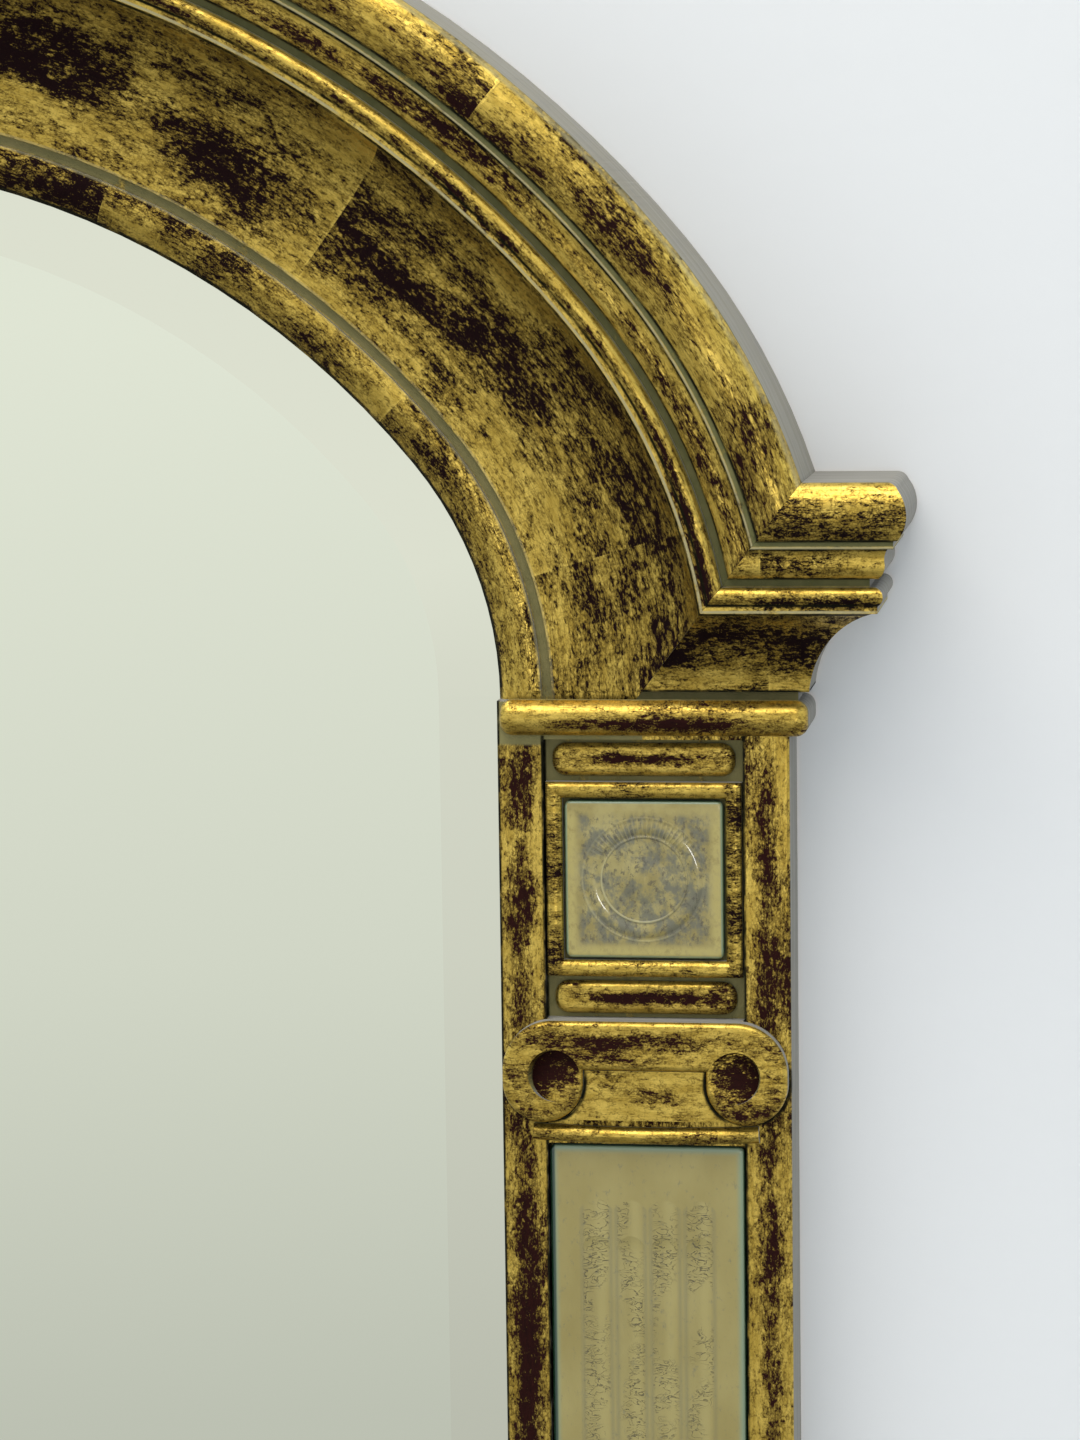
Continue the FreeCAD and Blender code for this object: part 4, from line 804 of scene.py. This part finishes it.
def shaft_pattern(tree, place):
    """Khaki haze with teal edges, and flutes full of short marks, with a painted highlight down one side of
    each flute, painted shade along their boundaries and a painted shadow along the glass's edges.
    """
    x, y, z = parts_of(tree, place)
    across = calc(tree, "SUBTRACT", calc(tree, "ABSOLUTE", x), STILE_MIDDLE)
    half_width = (glass_high.x - glass_low.x) / 2
    edge = glass_edge(tree, across, z, half_width, glass_low.z, glass_high.z)
    haze = noise(tree, scaled(tree, place, SHAFT_HAZE_SCALES), detail=4.0)
    fine = noise(tree, scaled(tree, place, SHAFT_SPECK_SCALES), detail=4.0, roughness=0.7)
    colour = blended(tree, ease(tree, haze, 0.05, 0.95), GLASS_KHAKI, GLASS_PALE)
    colour = blended(tree, product(tree, ease(tree, fine, 0.55, 0.75), 0.5), colour, GLASS_BLUE)
    flutes_half = FLUTE_PITCH * FLUTES_EACH_SIDE
    column = calc(tree, "DIVIDE", calc(tree, "ADD", across, flutes_half), FLUTE_PITCH)
    part = calc(tree, "FRACT", column)
    offset = calc(tree, "ABSOLUTE", calc(tree, "SUBTRACT", part, 0.5))
    arched = product(tree, offset, offset, FLUTE_ROUND)
    below = ease(tree, calc(tree, "ADD", z, arched), FLUTE_TOP + 0.0006, FLUTE_TOP - 0.0006)
    inside = calc(tree, "LESS_THAN", calc(tree, "ABSOLUTE", across), flutes_half)
    fluted = product(tree, inside, below)
    # Painted highlight: a pale stripe down one side of each flute
    pale = product(tree, hump(tree, part, 0.64, 0.14, 0.12), fluted, 0.6)
    colour = blended(tree, pale, colour, GLASS_PALE)
    # Painted shade: dark lines along the flute boundaries
    rim = product(tree, hump(tree, offset, 0.42, 0.06, 0.06), fluted, haze, 0.5)
    colour = blended(tree, rim, colour, GLASS_BLUE)
    wiggle = noise(tree, scaled(tree, place, MARK_SCALES), detail=2.0, distortion=1.4)
    line = hump(tree, wiggle, 0.5, 0.010, 0.008)
    gate = ease(tree, noise(tree, scaled(tree, place, MARK_GROUP_SCALES)), 0.44, 0.56)
    within = ease(tree, offset, 0.42, 0.30)
    marks = product(tree, line, gate, fluted, within)
    colour = blended(tree, product(tree, marks, 0.8), colour, GLASS_BROWN)
    colour = blended(tree, ease(tree, edge, 0.0042, 0.0010), colour, GLASS_TEAL)
    # Painted shadow: a dark strip along the glass's inner edge, and a thin dark line round it
    inner_edge = calc(tree, "ADD", across, half_width)
    colour = blended(tree, ease(tree, inner_edge, 0.0026, 0.0016), colour, GLASS_EDGE_SHADE)
    colour = blended(tree, ease(tree, edge, 0.0010, 0.0004), colour, GLASS_EDGE_SHADE)
    return colour, calc(tree, "MULTIPLY_ADD", fine, 0.15, marks)


def rosette_pattern(middle):
    """Hazy glass with grey blotches, and a ring with radial ticks between two fine lines, which carry a
    painted highlight on their lower side nearer the sight.
    """

    def pattern(tree, place):
        x, y, z = parts_of(tree, place)
        across = calc(tree, "SUBTRACT", calc(tree, "ABSOLUTE", x), STILE_MIDDLE)
        up = calc(tree, "SUBTRACT", z, middle)
        half = (tile_high.x - tile_low.x) / 2
        edge = glass_edge(tree, across, up, half, -half, half)
        haze = noise(tree, scaled(tree, place, ROSETTE_HAZE_SCALES), detail=5.0, roughness=0.62)
        fine = noise(tree, scaled(tree, place, ROSETTE_SPECK_SCALES), detail=4.0, roughness=0.75)
        blot = noise(tree, scaled(tree, place, BLOT_SCALES), detail=4.0, roughness=0.7)
        field = ease(tree, edge, 0.0040, 0.0080)
        grey = product(tree, ease(tree, blot, 0.42, 0.60), field, 0.8)
        specks = product(tree, ease(tree, fine, 0.52, 0.64), field, 0.75)
        colour = blended(tree, ease(tree, haze, 0.3, 0.7), GLASS_KHAKI, GLASS_PALE)
        colour = blended(tree, grey, colour, GLASS_BLUE)
        colour = blended(tree, specks, colour, GLASS_BROWN)
        radius = length_of(tree, across, up)
        angle = calc(tree, "ARCTAN2", up, across)
        tick = calc(tree, "SINE", product(tree, angle, RING_TICKS))
        ring = hump(tree, radius, RING_RADIUS, RING_WIDTH / 2, 0.0008)
        upper = ease(tree, up, 0.004, 0.018)
        ticks = product(tree, ease(tree, tick, -0.2, 0.9), ring, upper)
        colour = blended(tree, product(tree, ticks, 0.3), colour, GLASS_PALE)
        inner_line = lines_at(tree, radius, (RING_RADIUS - RING_WIDTH / 2,), RING_LINE_HALF)
        outer_line = lines_at(tree, radius, (RING_RADIUS + RING_WIDTH / 2,), RING_LINE_HALF)
        lines = calc(tree, "MULTIPLY_ADD", outer_line, 0.4, inner_line)
        # Painted highlight: glints along the ring's edge lines, brightest on their lower side nearer the
        # sight
        slant = calc(tree, "DIVIDE", calc(tree, "ADD", across, up), radius)
        lit = product(tree, ease(tree, slant, 0.4, -1.2), 0.75)
        colour = blended(tree, product(tree, lines, lit), colour, GLASS_GLINT)
        below_top = ease(tree, up, half, half - 0.008)
        rim = product(tree, ease(tree, edge, 0.0066, 0.0030), below_top, ease(tree, fine, 0.70, 0.45))
        colour = blended(tree, rim, colour, GLASS_RIM)
        colour = blended(tree, ease(tree, edge, 0.0016, 0.0010), colour, GLASS_TEAL)
        # Painted shade: a thin dark line round the tile's edge
        colour = blended(tree, ease(tree, edge, 0.0008, 0.0003), colour, GLASS_EDGE_SHADE)
        height = calc(tree, "MULTIPLY_ADD", fine, 0.2, product(tree, ticks, 0.3))
        return colour, calc(tree, "MULTIPLY_ADD", lines, 0.5, height)

    return pattern


def silvered(name):
    material, tree, shader, place = new_material(name)
    haze = noise(tree, scaled(tree, place, PLATE_HAZE_SCALES), detail=3.0)
    normal = tree.nodes.new("ShaderNodeNewGeometry").outputs["Normal"]
    sloped = ease(tree, parts_of(tree, normal)[1], -0.9985, -0.9970)
    feed(
        tree,
        shader,
        Base_Color=blended(tree, sloped, MIRROR_TINT, BEVEL_TINT),
        Metallic=1.0,
        Roughness=between(tree, haze, 0.012, 0.03),
    )
    return material


def grained(name, light, dark, scales, gloss, metal=0.0):
    """Streaked or mottled stock: board, wood, brass or steel."""
    material, tree, shader, place = new_material(name)
    grain = noise(tree, scaled(tree, place, scales), detail=5.0, roughness=0.62, distortion=0.4)
    mottle = noise(tree, scaled(tree, place, (24.0, 24.0, 24.0)), detail=3.0)
    share = calc(tree, "MULTIPLY_ADD", mottle, 0.5, product(tree, grain, 0.5))
    tone = ease(tree, share, 0.34, 0.66)
    feed(
        tree,
        shader,
        Base_Color=blended(tree, tone, dark, light),
        Metallic=metal,
        Roughness=between(tree, grain, gloss - 0.1, gloss + 0.1),
        Normal=bumped(tree, grain, 0.0002, 0.4),
    )
    return material


# Dressing the frame's nodes


def dress(material, *names):
    for name in names:
        slots = NODES[name].data.materials
        slots.clear()
        slots.append(material)


def dress_pair(material, name):
    dress(material, f"{name}_right", f"{name}_left")


def dress_gilding():
    """Gilds the pieces, with seeds that keep one kind of piece from being worn like another."""
    arch = {
        "run_of": arch_run,
        "wear": arch_wear,
        "recess": arch_recess,
        "dirt_and_shade": arch_dirt_and_shade,
        "arris": arch_arris,
    }
    dress(gilded("gilded_arch_rail", **arch, seed=3.0, red=0.25, second=ARCH_GROOVE), "arch_rail")
    dress(gilded("gilded_crown", **arch, seed=8.3, red=0.5), "arch_crown_moulding")
    cornice = gilded(
        "gilded_return",
        level_run,
        return_wear,
        return_recess,
        return_dirt_and_shade,
        seed=5.1,
        red=0.15,
        arris=return_arris,
    )
    dress_pair(cornice, "cornice_return")
    stile = gilded(
        "gilded_stile",
        upright_run,
        stile_wear,
        stile_recess,
        stile_dirt_and_shade,
        seed=2.5,
        red=0.8,
        lap=LONG,
    )
    dress_pair(stile, "stile")
    scroll = gilded("gilded_scroll", level_run, scroll_wear, seed=40.0, red=0.8, lap=WHOLE)
    dress_pair(scroll, "scroll_capital")
    dress(gilded("gilded_rail", level_run, even_wear(0.42), seed=6.4), "bottom_rail", "base_moulding")
    # Half the length of the worn streak, its strength, the wear beside it, and its height on the bar
    bars = {
        "astragal": (0.044, 0.60, 0.10, 0.34),
        "column_base_torus": (0.044, 0.60, 0.10, 0.34),
        "column_base_bar": (0.040, 0.3, 0.1, 0.5),
        "capital_upper_bar": (0.020, 0.84, 0.12, 0.5),
        "capital_lower_bar": (0.022, 0.84, 0.12, 0.5),
        "plinth_upper_bar": (0.020, 0.84, 0.12, 0.5),
        "plinth_lower_bar": (0.022, 0.84, 0.12, 0.5),
        "echinus": (0.009, 0.6, -0.15, 0.5),
        "neck_bar": (0.040, 0.1, 0.10, 0.5),
    }
    for number, (name, streak) in enumerate(bars.items()):
        low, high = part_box(f"{name}_right")
        wear = bar_wear(low.z, high.z, *streak)
        # The echinus gets a painted shadow round the volutes
        dirt_and_shade = echinus_volute_shadow if name == "echinus" else none
        finish = gilded(f"gilded_{name}", level_run, wear, dirt_and_shade=dirt_and_shade, seed=10.0 + number, red=0.8, lap=WHOLE)
        dress_pair(finish, name)
    for name in ("capital_bezel", "plinth_bezel"):
        dress_pair(gilded(f"gilded_{name}", level_run, bezel_wear, seed=21.0, lap=WHOLE), name)


def dress_glass():
    dress_pair(pressed_glass("shaft_glass", shaft_pattern), "shaft_glass")
    for name in ("capital_rosette_glass", "plinth_rosette_glass"):
        low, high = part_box(f"{name}_right")
        dress_pair(pressed_glass(name, rosette_pattern((low.z + high.z) / 2)), name)
    dress(silvered("silvered_plate"), "mirror_plate")


def dress_back():
    dress(grained("hardboard", BOARD_LIGHT, BOARD_DARK, (500.0, 500.0, 500.0), 0.6), "backing_board")
    dress(grained("beech", BEECH_LIGHT, BEECH_DARK, (300.0, 300.0, 40.0), 0.6), "joint_dowels")
    brass = grained("brass", BRASS_LIGHT, BRASS_DARK, (60.0, 300.0, 300.0), 0.35, metal=1.0)
    buttons = [name for name in NODES if name.startswith("turn_button") and name != "turn_button_screws"]
    dress(brass, *buttons)
    steel = grained("steel", STEEL_LIGHT, STEEL_DARK, (300.0, 300.0, 60.0), 0.38, metal=1.0)
    dress(steel, "turn_button_screws", "hanger_screws", "hanger_plate_left", "hanger_plate_right")


# Stage, light and camera

WALL_HALF = 6.0
WALL_HEIGHT = 5.0
WALL_GAP = 0.001
FLOOR_FRONT = 2.6
ARCH_WIDTH = 0.130
OPENING_MARGIN = 0.004
ARC_STEPS = 24

# Rays that start this near to the wall go through it, so that light reaches the back of the cornice
WALL_NEAR = 0.0025

# Strength by the height of a direction, from straight down to straight up
SKY = [
    (-1.0, 0.30),
    (-0.28, 0.56),
    (-0.18, 0.70),
    (-0.13, 0.74),
    (-0.03, 0.82),
    (0.2, 0.82),
    (0.5, 0.76),
    (1.0, 0.66),
]
SKY_COLOUR = (0.92, 0.97, 1.01, 1)
SIDE_COLOUR = (0.85, 0.965, 1.07, 1)
SIDE_GAIN = 0.65
SIDE_FRONT = (-0.80, -0.35)
SIDE_RISE = (-0.30, 0.15)
CEILING_LIGHT = {
    "place": (-0.3, -1.3, 2.7),
    "aim": (0.2, 0.0, 0.1),
    "width": 3.6,
    "height": 1.6,
    "power": 68.0,
    "colour": (1.0, 0.945, 0.865),
}
WINDOW_LIGHT = {
    "place": (0.9, -3.0, 0.0),
    "aim": (0.344, 0.0, 0.0),
    "width": 0.25,
    "height": 0.5,
    "power": 7.0,
}
BACK_LIGHT = {
    "place": (0.4, 2.8, 2.2),
    "aim": (0.0, 0.0, -0.1),
    "width": 2.0,
    "height": 2.0,
    "power": 15.0,
}
CAMERA_PLACE = Vector((0.5386, -1.635, 0.255))
CAMERA_AIM = Vector((0.3036, -0.035, 0.053))
CAMERA_ROLL = math.radians(-0.79)
CAMERA_LENS = 105.95


def new_sheet(name, corners, material):
    mesh = bpy.data.meshes.new(name)
    mesh.from_pydata(corners, [], [range(len(corners))])
    mesh.materials.append(material)
    sheet = bpy.data.objects.new(name, mesh)
    bpy.context.scene.collection.objects.link(sheet)
    return sheet


def plastered(name, colour):
    material, tree, shader, place = new_material(name)
    grain = noise(tree, scaled(tree, place, (60.0, 60.0, 60.0)), detail=5.0)
    feed(tree, shader, Base_Color=colour, Roughness=0.8, Normal=bumped(tree, grain, 0.0004, 0.3))
    return material, tree, shader


def back_opening():
    """An opening in the wall behind the frame: its outline from the left foot over the arch to the right."""
    side = STILE_OUTER - OPENING_MARGIN
    haunch = HAUNCH_RADIUS + ARCH_WIDTH - OPENING_MARGIN
    crown = CROWN_RADIUS + ARCH_WIDTH - OPENING_MARGIN
    start = math.acos((side - HAUNCH_ACROSS) / haunch)
    half = [(side, FLOOR)]
    for step in range(ARC_STEPS + 1):
        turn = start + (ARCH_TURN - start) * step / ARC_STEPS
        half.append((HAUNCH_ACROSS + haunch * math.cos(turn), SPRING + haunch * math.sin(turn)))
    for step in range(1, ARC_STEPS + 1):
        turn = ARCH_TURN + (math.pi / 2 - ARCH_TURN) * step / ARC_STEPS
        half.append((crown * math.cos(turn), SPRING - CENTRE_DROP + crown * math.sin(turn)))
    return [(-x, z) for x, z in half] + half[-2::-1]


def make_stage():
    """A pale floor, and a wall that can't be seen from behind."""
    floor = plastered("floor_pale", FLOOR_PALE)[0]
    half = WALL_HALF
    front = -FLOOR_FRONT
    corners = [(-half, front, FLOOR), (half, front, FLOOR), (half, half, FLOOR), (-half, half, FLOOR)]
    # The plate reflects the sky alone
    new_sheet("floor", corners, floor).visible_glossy = False
    wall, tree, shader = plastered("wall_white", WALL_WHITE)
    behind = tree.nodes.new("ShaderNodeNewGeometry").outputs["Backfacing"]
    reach = tree.nodes.new("ShaderNodeLightPath").outputs["Ray Length"]
    unseen = largest(tree, behind, calc(tree, "LESS_THAN", reach, WALL_NEAR))
    clear = tree.nodes.new("ShaderNodeBsdfTransparent")
    mix = add(tree, "ShaderNodeMixShader", {0: unseen, 1: shader.outputs[0], 2: clear.outputs[0]})
    output = next(node for node in tree.nodes if node.type == "OUTPUT_MATERIAL")
    tree.links.new(mix.outputs[0], output.inputs["Surface"])
    top = FLOOR + WALL_HEIGHT
    outline = [(-half, FLOOR), *back_opening(), (half, FLOOR), (half, top), (-half, top)]
    new_sheet("wall", [(x, WALL_GAP, z) for x, z in outline], wall)


def add_light(name, place, aim, width, height, power, colour=(1, 1, 1)):
    data = bpy.data.lights.new(name, "AREA")
    data.shape = "RECTANGLE"
    data.size = width
    data.size_y = height
    data.energy = power
    data.color = colour
    light = bpy.data.objects.new(name, data)
    light.location = place
    light.rotation_euler = (Vector(aim) - Vector(place)).to_track_quat("-Z", "Y").to_euler()
    bpy.context.scene.collection.objects.link(light)
    return light


def make_light():
    world = bpy.data.worlds.new("studio")
    world.use_nodes = True
    bpy.context.scene.world = world
    tree = world.node_tree
    x, y, z = parts_of(tree, tree.nodes.new("ShaderNodeTexCoord").outputs["Generated"])
    aside = product(tree, ease(tree, y, *SIDE_FRONT), ease(tree, z, *SIDE_RISE))
    gain = calc(tree, "MULTIPLY_ADD", aside, SIDE_GAIN, 1.0)
    sky = tree.nodes["Background"].inputs
    tree.links.new(product(tree, stepped(tree, z, SKY), gain), sky["Strength"])
    tree.links.new(blended(tree, aside, SKY_COLOUR, SIDE_COLOUR), sky["Color"])
    add_light("ceiling_light", **CEILING_LIGHT)
    # The window only shows as arcs in the glass
    add_light("window_light", **WINDOW_LIGHT).visible_diffuse = False
    add_light("back_light", **BACK_LIGHT)
    bpy.context.scene.view_settings.view_transform = "Standard"


def make_camera():
    data = bpy.data.cameras.new("camera")
    data.lens = CAMERA_LENS
    camera = bpy.data.objects.new("camera", data)
    bpy.context.scene.collection.objects.link(camera)
    forward = (CAMERA_AIM - CAMERA_PLACE).normalized()
    level = forward.cross(Vector((0, 0, 1))).normalized()
    upward = level.cross(forward)
    right = level * math.cos(CAMERA_ROLL) + upward * math.sin(CAMERA_ROLL)
    up = right.cross(forward)
    turn = Matrix((right, up, -forward)).transposed().to_4x4()
    camera.matrix_world = Matrix.Translation(CAMERA_PLACE) @ turn
    bpy.context.scene.camera = camera


dress_gilding()
dress_glass()
dress_back()
make_stage()
make_light()
make_camera()
